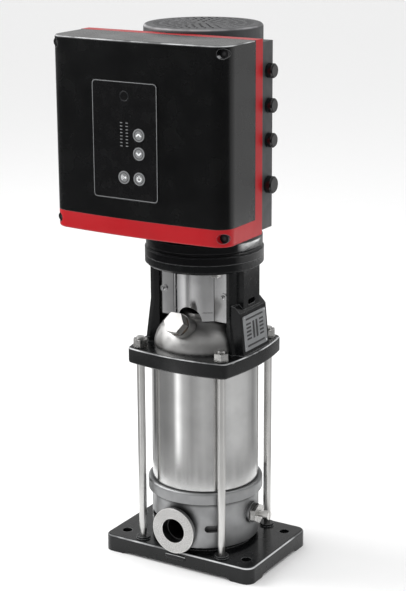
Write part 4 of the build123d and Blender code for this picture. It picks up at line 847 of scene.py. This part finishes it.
class Wardrobe:
    """Materials made once each, and the calls that put them on CAD nodes and new pieces.

    Points nearer than merge_reach become one, and edges shorter than sliver go, both in metres. An
    edge that turns by more than sharp_turn degrees stays sharp.
    """

    merge_reach = 1e-7
    sliver = 1e-8
    sharp_turn = 40.0

    def __init__(self) -> None:
        """Starts with nothing made."""
        self.made: dict[str, bpy.types.Material] = {}

    def material(self, finish: Finish) -> bpy.types.Material:
        """The finish's material, made at its first use.

        Args:
            finish: What the material is made from.

        Returns:
            The material.
        """
        if finish.name not in self.made:
            self.made[finish.name] = finish.material()
        return self.made[finish.name]

    def dress(self, finish: Finish, *nodes: str) -> None:
        """Gives CAD nodes a finish.

        Args:
            finish: What they get.
            *nodes: The nodes' names.
        """
        for node in nodes:
            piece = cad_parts[node]
            if not piece.material_slots:
                piece.data.materials.append(self.material(finish))
            for slot in piece.material_slots:
                slot.material = self.material(finish)
        LOG.info("%s on %s", finish.name, ", ".join(nodes))

    def add(self, name: str, shape: Shape, finish: Finish, slot: str, body: str = "pump") -> None:
        """Makes a new piece that rides on a body, with its place in its mesh.

        Args:
            name: The piece's name.
            shape: Its points and faces, in millimetres.
            finish: What it is dressed in.
            slot: Name of the record's material slot; not used.
            body: The CAD body it rides on.
        """
        mesh = bpy.data.meshes.new(name)
        mesh.from_pydata((shape.points * MM).tolist(), [], shape.faces.tolist())
        work = bmesh.new()
        work.from_mesh(mesh)
        bmesh.ops.remove_doubles(work, verts=work.verts, dist=self.merge_reach)
        bmesh.ops.dissolve_degenerate(work, edges=work.edges, dist=self.sliver)
        bmesh.ops.recalc_face_normals(work, faces=work.faces)
        work.to_mesh(mesh)
        work.free()
        mesh.polygons.foreach_set("use_smooth", np.ones(len(mesh.polygons), bool))
        mesh.set_sharp_from_angle(angle=math.radians(self.sharp_turn))
        mesh.materials.append(self.material(finish))
        piece = bpy.data.objects.new(name, mesh)
        bpy.context.scene.collection.objects.link(piece)
        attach(piece, body)
        LOG.info("%s: %d faces", name, len(mesh.polygons))


# ------------------------------------------------------------------ the pump's own parts
class Part:
    """A sub-assembly of the pump: CAD nodes to dress, and new pieces where it has any.

    Its lengths are in millimetres, and its places come from the CAD nodes' boxes where they can. A
    line or bead is given by its width and how far it stands out.
    """

    def dress(self, wardrobe: Wardrobe) -> None:
        """Finishes of the part's CAD nodes."""

    def build(self, wardrobe: Wardrobe) -> None:
        """Adds the part's new pieces."""


@dataclass
class Foot(Part):
    """Base plate, stay bolts and base casting."""

    plate_front: float = high("base_plate", Y)
    pad_half: Point = (15.0, 2.4, 3.4)
    pad_level: float = 14.2
    pad_squareness: float = 0.5
    rod_reach: float = high("stay_bolts", X)
    rod_radius: float = 5.0
    thread_gap: float = 0.2
    thread_low: float = high("stay_bolt_nuts", Z) + thread_gap
    thread_pitch: float = 1.25
    thread_turns: float = 1.9
    thread_crest: Pair = (0.7, 0.5)
    points_in_turn: int = 40
    edge_radii: Pair = (16.6, 29.6)
    edge_line: Pair = (0.8, 0.4)
    edge_sunk: float = 0.1

    def dress(self, wardrobe: Wardrobe) -> None:
        """Finishes of the foot's CAD nodes.

        Args:
            wardrobe: Materials, and the calls that put them on.
        """
        wardrobe.dress(BLACK_ENAMEL, "base_plate")
        wardrobe.dress(ROD_STEEL, "stay_bolts")
        wardrobe.dress(BOLT_STEEL, "stay_bolt_washers", "stay_bolt_nuts", "drain_plug")
        wardrobe.dress(VENT_STEEL, "bypass_spindle")
        wardrobe.dress(CASTING_STEEL, "base_casting")

    def side_pads(self) -> Shape:
        """Flat oval pads cast on the plate's front and back, under the ports."""
        places = [(0.0, side * self.plate_front, self.pad_level) for side in SIDES]
        return gathered([pebble(place, self.pad_half, self.pad_squareness) for place in places])

    def rod_threads(self) -> Shape:
        """Thread crests on the rods' ends: an oval carried up a helix about each rod.

        Returns:
            One crest for each rod.
        """
        count = round(self.points_in_turn * self.thread_turns)
        t = np.linspace(0, 2 * np.pi * self.thread_turns, count)
        rise = self.thread_pitch * t / (2 * np.pi)
        half = self.rod_reach - self.rod_radius
        crests = []
        for x, y in product(SIDES, SIDES):
            path = np.array([x * half, y * half, self.thread_low]) + self.rod_radius * spokes(t)
            path[:, Z] += rise
            crests.append(carried(path, spokes(t), oval(*self.thread_crest, count=6)))
        return gathered(crests)

    def port_edges(self) -> Shape:
        """Bright edges of the machined faces: a thin ring at the bore and one at the rim.

        Returns:
            Two rings for each port.
        """
        rings = []
        for side, radius in product(SIDES, self.edge_radii):
            loop = circle((0.0, PORT_HEIGHT), radius, count=72)
            path = np.insert(loop, 1, side * (PORT_REACH - self.edge_sunk), axis=1)
            rings.append(carried(path, side * ALONG_Y, oval(*self.edge_line), True))
        return gathered(rings)

    def build(self, wardrobe: Wardrobe) -> None:
        """Adds the foot's new pieces.

        Args:
            wardrobe: Materials, and the calls that put them on.
        """
        wardrobe.add("side_pads", self.side_pads(), BLACK_ENAMEL, "black_cast")
        wardrobe.add("rod_threads", self.rod_threads(), BOLT_STEEL, "steel_bolt")
        wardrobe.add("port_face_edges", self.port_edges(), VENT_STEEL, "steel_bright")


class Stack(Part):
    """Sleeve, the chambers and impellers in it, the shaft and its seal, and the pump head."""

    def dress(self, wardrobe: Wardrobe) -> None:
        """Finishes of the stack's CAD nodes.

        Args:
            wardrobe: Materials, and the calls that put them on.
        """
        wardrobe.dress(SLEEVE_STEEL, "outer_sleeve")
        wardrobe.dress(BLACK_RUBBER, "sleeve_gaskets")
        wardrobe.dress(SHEET_STEEL, "inlet_chamber", "stage_chambers", "outlet_chamber")
        wardrobe.dress(SHEET_STEEL, "stack_spring", "impellers")
        wardrobe.dress(BOLT_STEEL, "impeller_spacers", "impeller_nut", "pump_shaft")
        wardrobe.dress(BRONZE, "bearing_bush")
        wardrobe.dress(BLASTED_STEEL, "pump_head")
        wardrobe.dress(BROWN_RUBBER, "vent_ring")
        wardrobe.dress(VENT_STEEL, "vent_plug")
        wardrobe.dress(DARK_CERAMIC, "seal_seat", "seal_rotor")


@dataclass
class RatingPlate:
    """Silver plate on the +X leg: blank dark bars and four rivets, with no words.

    Levels run down the plate from its upper edge, and places across it from its middle.
    """

    top: Pair = (70.95, 331.3)
    foot: Pair = (75.35, 288.2)
    lift: float = 0.42
    half_width: float = high("rating_plate", Y)
    wide_levels: Pair = (4.6, 38.4)
    wide_span: Pair = (-21.0, 21.0)
    short_levels: tuple[float, ...] = (11.0, 15.7, 20.4, 25.1, 29.8)
    short_spans: tuple[Pair, Pair] = ((-21.0, -10.0), (11.0, 21.0))
    row_width: float = 2.4
    columns: Pair = (-3.4, 4.4)
    column_span: Pair = (9.5, 31.5)
    column_width: float = 4.6
    print_height: float = 0.16
    rivet_inset: float = 2.6
    rivet_levels: Pair = (2.2, 41.2)

    def directions(self) -> tuple[np.ndarray, np.ndarray]:
        """Unit vectors down the plate and out of it."""
        down = unit(np.array([self.foot[0] - self.top[0], 0.0, self.foot[1] - self.top[1]]))
        return down, np.cross(down, ALONG_Y)

    def place(self, across: np.ndarray, level: np.ndarray) -> np.ndarray:
        """Points just over the plate's face, from their places across it and their levels.

        Args:
            across: Places across the plate.
            level: Levels down the plate.

        Returns:
            One row for each point.
        """
        down, out = self.directions()
        start = np.array([self.top[0], 0.0, self.top[1]]) + self.lift * out
        return start + np.outer(across, ALONG_Y) + np.outer(level, down)

    def bars(self) -> Shape:
        """Blank bars where print would be: wide and short rows, and two upright columns.

        Returns:
            All the bars.
        """
        rows = [(self.wide_span, level) for level in self.wide_levels]
        rows += [(span, level) for level, span in product(self.short_levels, self.short_spans)]
        across, down = oval(self.row_width, self.print_height), oval(self.column_width, self.print_height)
        paths = [(self.place(np.linspace(*span, 5), np.full(5, level)), across) for span, level in rows]
        for column in self.columns:
            paths.append((self.place(np.full(5, column), np.linspace(*self.column_span, 5)), down))
        out = self.directions()[1]
        return gathered([carried(path, out, section) for path, section in paths])

    def rivets(self) -> Shape:
        """Four domed rivets at the plate's corners.

        Returns:
            Four heads.
        """
        profile = dome(radius=1.5, height=0.8, skirt=0.2, fullness=1.0, count=6)
        half = self.half_width - self.rivet_inset
        across, levels = np.array(list(product((-half, half), self.rivet_levels))).T
        out = self.directions()[1]
        places = self.place(across, levels)
        return gathered([turned(profile, tuple(place), tuple(out), steps=20) for place in places])


@dataclass
class Stool(Part):
    """Motor stool, coupling, coupling guards and rating plate."""

    sheet: float = 1.5
    guard_radius: float = high("coupling_guard_rear", Y)
    guard_inside: float = low("coupling_guard_rear", Y)
    guard_foot: float = low("coupling_guard_rear", Z)
    guard_top: float = high("coupling_guard_rear", Z)
    crease_rise: float = 11.0
    crease_angles: Pair = (27.5, 46.5)
    crease_bead: Pair = (1.3, 0.7)
    fold_inset: float = 0.6
    fold_out: float = 0.4
    fold_line: Pair = (0.9, 0.4)
    screw_head: float = 4.8
    screw_x: float = high("guard_screws", X) - screw_head
    screw_face: float = high("guard_screws", Y)
    screw_level: float = middle("guard_screws")[1]
    cross_half: float = 1.7
    cross_rise: float = 0.66
    cross_line: Pair = (0.9, 0.3)
    plate: RatingPlate = field(default_factory=RatingPlate)

    def dress(self, wardrobe: Wardrobe) -> None:
        """Finishes of the stool's CAD nodes.

        Args:
            wardrobe: Materials, and the calls that put them on.
        """
        wardrobe.dress(STOOL_ENAMEL, "motor_stool", "coupling_halves")
        wardrobe.dress(GUARD_STEEL, "coupling_guard_front", "coupling_guard_rear", "guard_screws")
        wardrobe.dress(BOLT_STEEL, "coupling_screws", "motor_bolts")
        wardrobe.dress(SILVER_FOIL, "rating_plate")

    def creases(self) -> Shape:
        """Pressed crease round the curved middle of each guard, on both sides of its notch.

        Returns:
            Four beads.
        """
        level = np.array([0.0, 0.0, self.guard_foot + self.crease_rise])
        beads = []
        for turn, side in product((-90, 90), SIDES):
            out = spokes(np.radians(turn + side * np.linspace(*self.crease_angles, 14)))
            beads.append(carried(self.guard_radius * out + level, out, oval(*self.crease_bead)))
        return gathered(beads)

    def folds(self) -> Shape:
        """Shadow line in each fold between a guard's flat wings and its curved middle.

        Returns:
            Four lines.
        """
        plane = self.guard_inside + self.sheet
        x = math.sqrt(self.guard_radius**2 - plane**2) + self.fold_out
        ends = self.guard_foot + self.fold_inset, self.guard_top - self.fold_inset
        lines = []
        for side, across in product(SIDES, (-x, x)):
            path = np.insert(between((across, ends[0]), (across, ends[1]), count=8), 1, side * plane, axis=1)
            lines.append(carried(path, side * ALONG_Y, oval(*self.fold_line)))
        return gathered(lines)

    def screw_caps(self) -> Shape:
        """Crowned pan heads of the guards' screws.

        Returns:
            Four heads.
        """
        profile = dome(radius=3.2, height=0.7, skirt=0.3, fullness=0.6, count=8)
        caps = []
        for side, x in product(SIDES, (-self.screw_x, self.screw_x)):
            place = (x, side * self.screw_face, self.screw_level)
            caps.append(turned(profile, place, (0, side, 0), steps=28))
        return gathered(caps)

    def screw_crosses(self) -> Shape:
        """Painted shade of the cross recess in each pan head: two short dark bars at right angles.

        Returns:
            Two bars for each screw.
        """
        reaches = ((self.cross_half, 0.0), (0.0, self.cross_half))
        bars = []
        for side, x, (dx, dz) in product(SIDES, (-self.screw_x, self.screw_x), reaches):
            line = between((x - dx, self.screw_level - dz), (x + dx, self.screw_level + dz))
            bars.append(stroke(line, side * (self.screw_face + self.cross_rise), *self.cross_line))
        return gathered(bars)

    def build(self, wardrobe: Wardrobe) -> None:
        """Adds the stool's new pieces.

        Args:
            wardrobe: Materials, and the calls that put them on.
        """
        wardrobe.add("guard_creases", self.creases(), GUARD_STEEL, "steel_bright")
        wardrobe.add("guard_fold_lines", self.folds(), DARK_PRINT_AND_SHADE, "rubber_black")
        wardrobe.add("guard_screw_caps", self.screw_caps(), GUARD_STEEL, "steel_bolt")
        wardrobe.add("guard_screw_crosses", self.screw_crosses(), DARK_PRINT_AND_SHADE, "rubber_black")
        wardrobe.add("plate_fields", self.plate.bars(), DARK_PRINT_AND_SHADE, "rubber_black")
        wardrobe.add("plate_rivets", self.plate.rivets(), CAN, "plate_silver")


class Motor(Part):
    """Motor flange, housing, windings, fan and fan cover."""

    def dress(self, wardrobe: Wardrobe) -> None:
        """Finishes of the motor's CAD nodes.

        Args:
            wardrobe: Materials, and the calls that put them on.
        """
        wardrobe.dress(BELL_ENAMEL, "motor_flange")
        wardrobe.dress(MOTOR_ENAMEL, "motor_housing", "motor_end_shield")
        wardrobe.dress(LAMINATIONS, "stator_core", "rotor_core")
        wardrobe.dress(COPPER, "stator_windings")
        wardrobe.dress(BOLT_STEEL, "motor_shaft", "bearing_outer_rings", "bearing_inner_rings")
        wardrobe.dress(BLACK_RUBBER, "fan")
        wardrobe.dress(POWDER_GREY, "fan_cover")


@dataclass
class ControlPanel(Part):
    """Panel foil with its border, indicator marks, and the symbols on its four buttons.

    Marks are placed from the middle of the panel, and symbols from the middle of their button.
    """

    centre: Pair = middle("control_panel")
    width: float = high("control_panel", X) - low("control_panel", X)
    height: float = high("control_panel", Z) - low("control_panel", Z)
    face: float = low("control_panel", Y)
    corner: float = 5.0
    border_inset: float = 0.8
    border_line: Pair = (1.0, 0.16)
    mark_columns: Pair = (-4.5, 3.2)
    mark_levels: Pair = (21.1, -5.7)
    mark_rows: int = 8
    mark_half: Point = (1.7, 0.1, 0.55)
    mark_squareness: float = 0.4
    buttons: tuple[str, ...] = ("up", "down", "remote", "power")
    button_face: float = low("button_up", Y)
    ring_radius: float = 5.6
    ring_line: Pair = (1.0, 0.12)
    print_height: float = 0.14
    chevron_half: float = 3.1
    chevron_levels: Pair = (-1.4, 1.7)
    chevron_width: float = 2.1
    dot_right: float = 2.0
    dot_half: Point = (1.5, 0.1, 1.5)
    wave_radii: Pair = (3.2, 5.0)
    wave_angles: Pair = (145.0, 215.0)
    wave_width: float = 1.0
    power_radius: float = 2.7
    power_angles: Pair = (130.0, 410.0)
    power_width: float = 1.4
    power_bar: Pair = (0.6, 3.8)
    power_bar_width: float = 1.3

    def dress(self, wardrobe: Wardrobe) -> None:
        """Finishes of the panel's CAD nodes.

        Args:
            wardrobe: Materials, and the calls that put them on.
        """
        wardrobe.dress(PANEL_FOIL, "control_panel")
        wardrobe.dress(LIGHT_GUIDE, "status_ring")
        wardrobe.dress(SOFT_BUTTON, *(f"button_{name}" for name in self.buttons))

    def border(self) -> Shape:
        """Thin printed line round the panel.

        Returns:
            One closed line.
        """
        width, height = self.width - 2 * self.border_inset, self.height - 2 * self.border_inset
        loop = round_frame(self.centre, width, height, self.corner - self.border_inset)
        return stroke(loop, self.face, *self.border_line, closed=True)

    def marks(self) -> Shape:
        """Two columns of indicator marks left of the up button.

        Returns:
            All the marks.
        """
        x, z = self.centre
        levels = np.linspace(*self.mark_levels, self.mark_rows)
        places = [(x + across, self.face, z + level) for across, level in product(self.mark_columns, levels)]
        return gathered([pebble(place, self.mark_half, self.mark_squareness, 7, 20) for place in places])

    def printed(self, line: np.ndarray, width: float) -> Shape:
        """A printed line on the buttons' faces."""
        return stroke(line, self.button_face, width, self.print_height)

    def ring(self, name: str) -> Shape:
        """Dark printed ring near the edge of a button's face."""
        loop = circle(middle(f"button_{name}"), self.ring_radius, count=45)
        return stroke(loop, self.button_face, *self.ring_line, closed=True)

    def chevron(self, name: str, way: float) -> Shape:
        """Arrow of two strokes that meet over or under the button's middle.

        Args:
            name: The button's name, without its prefix.
            way: 1 for an arrow up, -1 for one down.

        Returns:
            The two strokes.
        """
        x, z = middle(f"button_{name}")
        foot, tip = (z + way * level for level in self.chevron_levels)
        left = between((x - self.chevron_half, foot), (x, tip))
        right = between((x, tip), (x + self.chevron_half, foot))
        return gathered([self.printed(line, self.chevron_width) for line in (left, right)])

    def waves(self) -> Shape:
        """Sender mark: a dot with arcs on its left.

        Returns:
            The dot and the arcs.
        """
        x, z = middle("button_remote")
        x += self.dot_right
        arcs = [arc((x, z), radius, *self.wave_angles, count=12) for radius in self.wave_radii]
        dot = pebble((x, self.button_face, z), self.dot_half, squareness=1.0, rows=7, columns=16)
        return gathered([dot, *(self.printed(line, self.wave_width) for line in arcs)])

    def power(self) -> Shape:
        """Power mark: a ring open at its top with an upright bar.

        Returns:
            The ring and the bar.
        """
        x, z = middle("button_power")
        ring = arc((x, z), self.power_radius, *self.power_angles, count=28)
        bar = between((x, z + self.power_bar[0]), (x, z + self.power_bar[1]))
        return gathered([self.printed(ring, self.power_width), self.printed(bar, self.power_bar_width)])

    def build(self, wardrobe: Wardrobe) -> None:
        """Adds the panel's printed marks, each on the body it is printed on.

        Args:
            wardrobe: Materials, and the calls that put them on.
        """
        wardrobe.add("panel_border", self.border(), GREY_PRINT, "button_grey")
        wardrobe.add("panel_marks", self.marks(), GREY_PRINT, "light_dim")
        symbols = (self.chevron("up", 1.0), self.chevron("down", -1.0), self.waves(), self.power())
        for name, symbol in zip(self.buttons, symbols):
            body = f"button_{name}"
            wardrobe.add(f"symbol_{name}", symbol, LIGHT_PRINT, "light_dim", body)
            wardrobe.add(f"ring_{name}", self.ring(name), DARK_PRINT_AND_SHADE, "rubber_black", body)


@dataclass
class DriveBox(Part):
    """Front cover, red frame, rear casting, cable plugs and what is inside the box.

    Each plug is its height and its radius, and each point of plug_dish is how far it lies in from
    that radius and how far it stands out.
    """

    corner_radius: float = 20.0
    corner_x: float = high("front_cover", X) - corner_radius
    corner_y: float = -131.5
    corner_ease: float = 0.4
    screw_inset: float = 7.0
    screw_x: float = high("front_cover", X) - screw_inset
    screws_down: float = 9.0
    screws_up: float = 10.5
    screw_levels: Pair = (high("front_cover", Z) - screws_down, low("control_frame", Z) + screws_up)
    screw_face: float = -142.8
    socket_radius: float = 2.3
    socket_lobe: float = 0.35
    socket_lobes: int = 6
    socket_depths: Pair = (0.3, -0.05)
    rim_radius: float = 5.9
    rim_line: Pair = (0.8, 0.4)
    plug_face: float = high("blanking_plugs", X)
    plug_y: float = (low("blanking_plugs", Y) + high("blanking_plugs", Y)) / 2
    plugs: tuple[Pair, ...] = ((641.0, 8.6), (601.0, 8.6), (560.5, 8.6), (508.0, 10.2))
    plug_dish: tuple[Pair, ...] = ((1.6, -0.4), (1.4, 0.0), (1.8, 0.0), (2.6, -0.15), (3.4, -0.3))
    panel: ControlPanel = field(default_factory=ControlPanel)

    def dress(self, wardrobe: Wardrobe) -> None:
        """Finishes of the box's CAD nodes.

        Args:
            wardrobe: Materials, and the calls that put them on.
        """
        wardrobe.dress(COVER_BLACK, "front_cover")
        wardrobe.dress(FRAME_RED, "control_frame")
        wardrobe.dress(BLACK_RUBBER, "cover_gasket")
        wardrobe.dress(BELL_ENAMEL, "blanking_plugs")
        wardrobe.dress(BLACK_SCREW, "cover_screws")
        wardrobe.dress(POWDER_GREY, "control_housing")
        wardrobe.dress(BOARD_GREEN, "circuit_boards")
        wardrobe.dress(CAN, "capacitors")
        wardrobe.dress(GREY_COMPOSITE, "terminal_block")
        self.panel.dress(wardrobe)

    def screw_sockets(self) -> Shape:
        """Painted shade of the sockets in the cover screws: dark discs of radius socket_radius + socket_lobe
        * cos(lobes * t).

        Returns:
            Four sockets.
        """
        t = np.linspace(0, 2 * np.pi, 48, endpoint=False)
        inner, outer = self.socket_depths
        share, depth = np.array([(0.0, inner), (1.0, inner), (1.0, outer), (0.0, outer)]).T[:, :, None]
        radius = share * (self.socket_radius + self.socket_lobe * np.cos(self.socket_lobes * t))
        y = np.broadcast_to(self.screw_face + depth, radius.shape)
        sockets = []
        for x, z in product((-self.screw_x, self.screw_x), self.screw_levels):
            rings = np.stack([x + radius * np.cos(t), y, z + radius * np.sin(t)], axis=-1)
            sockets.append(on_grid(rings, False, True))
        return gathered(sockets)

    def recess_rims(self) -> Shape:
        """Grey rim of each screw recess: a circle in X and Z, laid on the corner's round face.

        Returns:
            Four rims.
        """
        rims = []
        for side, level in product(SIDES, self.screw_levels):
            x, z = circle((self.screw_x, level), self.rim_radius, count=64).T
            off = np.clip(x - self.corner_x, 0.0, self.corner_radius - self.corner_ease)
            fall = -np.sqrt(self.corner_radius**2 - off**2)
            lift = unit(np.stack([side * off, fall, np.zeros_like(off)], axis=-1))
            path = np.stack([side * x, self.corner_y + fall, z], axis=-1)
            rims.append(carried(path, lift, oval(*self.rim_line), True))
        return gathered(rims)

    def plug_faces(self) -> Shape:
        """Dished faces of the blanking plugs: a raised rim and a shallow hollow.

        Returns:
            One face for each plug.
        """
        faces = []
        for z, radius in self.plugs:
            dish = [(radius - inset, height) for inset, height in self.plug_dish]
            profile = np.array([(0.0, dish[0][1]), *dish, (0.0, dish[-1][1])])
            faces.append(turned(profile, (self.plug_face, self.plug_y, z), (1, 0, 0), steps=44))
        return gathered(faces)

    def build(self, wardrobe: Wardrobe) -> None:
        """Adds the box's new pieces.

        Args:
            wardrobe: Materials, and the calls that put them on.
        """
        wardrobe.add("cover_screw_sockets", self.screw_sockets(), DARK_PRINT_AND_SHADE, "rubber_black")
        wardrobe.add("screw_recess_rims", self.recess_rims(), POWDER_GREY, "plastic_grey")
        wardrobe.add("plug_faces", self.plug_faces(), BELL_ENAMEL, "rubber_black")
        self.panel.build(wardrobe)


# ------------------------------------------------------------------ stage, lights and camera
def staged(name: str, points: np.ndarray, material: bpy.types.Material) -> bpy.types.Object:
    """Open sheet round or under the pump, which isn't part of it.

    Args:
        name: The sheet's name.
        points: Grid of its points in metres, of shape (rows, columns, 3).
        material: What it is made of.

    Returns:
        The sheet.
    """
    shape = on_grid(points, False, False)
    mesh = bpy.data.meshes.new(name)
    mesh.from_pydata(shape.points.tolist(), [], shape.faces.tolist())
    mesh.materials.append(material)
    sheet = bpy.data.objects.new(name, mesh)
    bpy.context.scene.collection.objects.link(sheet)
    return sheet


@dataclass
class Softbox:
    """Flat light that faces a point. Its lengths are in metres."""

    name: str
    at: Point
    size: Pair
    power: float
    target: Point = (0.0, 0.0, 0.35)

    def hang(self) -> None:
        """Puts the light in the scene."""
        lamp = bpy.data.lights.new(self.name, "AREA")
        lamp.shape, lamp.size, lamp.size_y = "RECTANGLE", *self.size
        lamp.energy = self.power
        light = bpy.data.objects.new(self.name, lamp)
        light.location = self.at
        light.rotation_euler = (Vector(self.target) - Vector(self.at)).to_track_quat("-Z", "Y").to_euler()
        light.visible_camera = False
        bpy.context.scene.collection.objects.link(light)


@dataclass
class Reflector:
    """Round screen of light and dark cloth that only reflections see. Its lengths are in metres.

    Each stop of its plan is an angle from -Y towards +X, in degrees, and how bright the cloth is
    there. Between the heights of plain_foot it goes over from evenly lit cloth to the plan.
    """

    name: str
    radius: float
    low: float
    high: float
    plan: tuple[Pair, ...]
    plain_foot: Pair | None = None
    plain: float = 0.45

    def cloth(self) -> bpy.types.Material:
        """Glow that follows the plan by the angle atan2(x, -y) of the place.

        Returns:
            The material.
        """
        bench = Bench(self.name)
        x, y, height = (bench.part(bench.place, axis) for axis in (X, Y, Z))
        angle = bench.maths("ARCTAN2", x, bench.times(y, -1.0))
        ramp = bench.node("ShaderNodeValToRGB", {0: bench.spread(angle, (-math.pi, math.pi))})
        stops = ramp.color_ramp.elements
        while len(stops) < len(self.plan):
            stops.new(0.5)
        for stop, (degrees, bright) in zip(stops, self.plan):
            stop.position, stop.color = (degrees + 180) / 360, (bright, bright, bright, 1.0)
        cloth = ramp.outputs[0]
        if self.plain_foot:
            plain = (self.plain, self.plain, self.plain)
            cloth = bench.blend(bench.spread(height, self.plain_foot), plain, cloth)
        glow = bench.node("ShaderNodeEmission", {"Color": cloth}).outputs[0]
        bench.node("ShaderNodeOutputMaterial", {"Surface": glow})
        return bench.material

    def stand(self) -> None:
        """Puts the screen round the pump: an upright tube without ends."""
        ring = self.radius * spokes(np.linspace(0, 2 * np.pi, 97))
        tube = np.stack([ring + np.array([0.0, 0.0, height]) for height in (self.low, self.high)])
        screen = staged(self.name, tube, self.cloth())
        for sight in ("camera", "diffuse", "transmission", "volume_scatter", "shadow"):
            setattr(screen, f"visible_{sight}", False)


LIGHTS = (
    Softbox("key_box", (-1.25, -1.75, 1.75), (1.5, 1.5), 8.0),
    Softbox("left_box", (-1.5, -0.4, 1.3), (0.8, 1.2), 24.0, (0.0, 0.0, 0.3)),
    Softbox("top_box", (0.3, 0.5, 2.8), (1.6, 1.6), 8.0),
)
REFLECTORS = (
    Reflector(
        "low_screen", 0.33, 0.0, 0.2,
        ((-180, 0.7), (-130, 0.75), (-112, 0.7), (-98, 0.1), (-84, 0.3), (-50, 0.3), (-34, 0.42), (-24, 1.8),
         (-13, 0.75), (5, 0.42), (26, 0.62), (48, 0.5), (85, 0.78), (122, 0.64), (146, 0.34), (180, 0.7)),
        plain_foot=(0.02, 0.062),
    ),
    Reflector(
        "middle_screen", 0.33, 0.2, 0.31,
        ((-180, 0.5), (-100, 0.3), (-75, 0.5), (-55, 0.8), (-44, 0.9), (-35, 0.25), (-27, 0.25), (-18, 0.75),
         (-6, 0.62), (12, 0.46), (28, 0.34), (60, 0.4), (90, 0.25), (150, 0.25), (180, 0.4)),
    ),
    Reflector(
        "bell_screen", 0.34, 0.347, 0.357,
        ((-180, 0.3), (-90, 0.1), (-31, 0.02), (60, 0.05), (92, 0.1), (104, 11.0), (150, 8.0), (165, 0.6),
         (180, 0.3)),
    ),
    Reflector(
        "far_screen", 1.2, 0.02, 0.8,
        ((-180, 0.5), (-110, 0.25), (-70, 0.03), (-31, 0.01), (0, 0.01), (60, 0.02), (88, 0.04), (108, 0.7),
         (150, 0.8), (180, 0.6)),
    ),
    Reflector(
        "high_screen", 1.3, 0.82, 2.2,
        ((-180, 0.6), (-130, 0.8), (-105, 1.9), (-60, 1.9), (-34, 1.7), (-20, 0.6), (40, 0.4), (90, 0.5),
         (180, 0.6)),
    ),
)
FLOOR_PAINT = Finish("pale_floor", (0.96, 0.96, 0.96), roughness=0.7, tint_spread=0.005, grain_depth=0.0)


@dataclass
class Studio:
    """Pale floor, soft lights, plain sky, reflectors and the camera. Lengths are in metres.

    The camera's turn is from -Y towards +X, its tip is downwards, and all three angles are in degrees.
    """

    floor_half: float = 30.0
    sky: Colour = (1.0, 1.0, 1.0)
    sky_strength: float = 0.9
    camera_at: Point = (1.0187, -1.6807, 0.8963)
    camera_turn: float = 31.22
    camera_tip: float = 15.73
    camera_roll: float = -0.27
    sensor_width: float = 36.0
    lens: float = 98.665
    shift_x: float = -0.0028

    def lay_floor(self, wardrobe: Wardrobe) -> None:
        """Flat pale floor, a grid of points at height 0.

        Args:
            wardrobe: Materials, and the calls that put them on.
        """
        line = np.linspace(-self.floor_half, self.floor_half, 9)
        x, y = np.meshgrid(line, line, indexing="ij")
        staged("studio_floor", np.stack([x, y, np.zeros_like(x)], axis=-1), wardrobe.material(FLOOR_PAINT))

    def light(self) -> None:
        """Sky, softboxes and reflectors."""
        world = bpy.data.worlds.new("plain_sky")
        world.use_nodes = True
        background = world.node_tree.nodes["Background"]
        background.inputs[0].default_value = (*self.sky, 1.0)
        background.inputs[1].default_value = self.sky_strength
        bpy.context.scene.world = world
        for lamp in LIGHTS:
            lamp.hang()
        for screen in REFLECTORS:
            screen.stand()
        bpy.context.scene.view_settings.view_transform = "Standard"

    def place_camera(self) -> None:
        """Camera a little above the drive box, looking down on the pump from its front right."""
        turn, tip, roll = (math.radians(a) for a in (self.camera_turn, self.camera_tip, self.camera_roll))
        right = Vector((math.cos(turn), math.sin(turn), 0.0))
        ahead = Vector((-math.sin(turn) * math.cos(tip), math.cos(turn) * math.cos(tip), -math.sin(tip)))
        above = right.cross(ahead)
        side = right * math.cos(roll) + above * math.sin(roll)
        head = above * math.cos(roll) - right * math.sin(roll)
        camera = bpy.data.objects.new("camera", bpy.data.cameras.new("camera"))
        turned_by = Matrix((side, head, -ahead)).transposed()
        camera.matrix_world = Matrix.Translation(self.camera_at) @ turned_by.to_4x4()
        camera.data.sensor_width, camera.data.lens = self.sensor_width, self.lens
        camera.data.shift_x = self.shift_x
        bpy.context.scene.collection.objects.link(camera)
        bpy.context.scene.camera = camera


def main() -> None:
    """Builds and dresses each part of the pump in order, then the studio round it."""
    logging.basicConfig(level=logging.INFO, format="%(message)s")
    wardrobe = Wardrobe()
    studio = Studio()
    studio.place_camera()
    for part in (Foot(), Stack(), Stool(), Motor(), DriveBox()):
        part.dress(wardrobe)
        part.build(wardrobe)
    studio.lay_floor(wardrobe)
    studio.light()


if __name__ == "__main__":
    main()
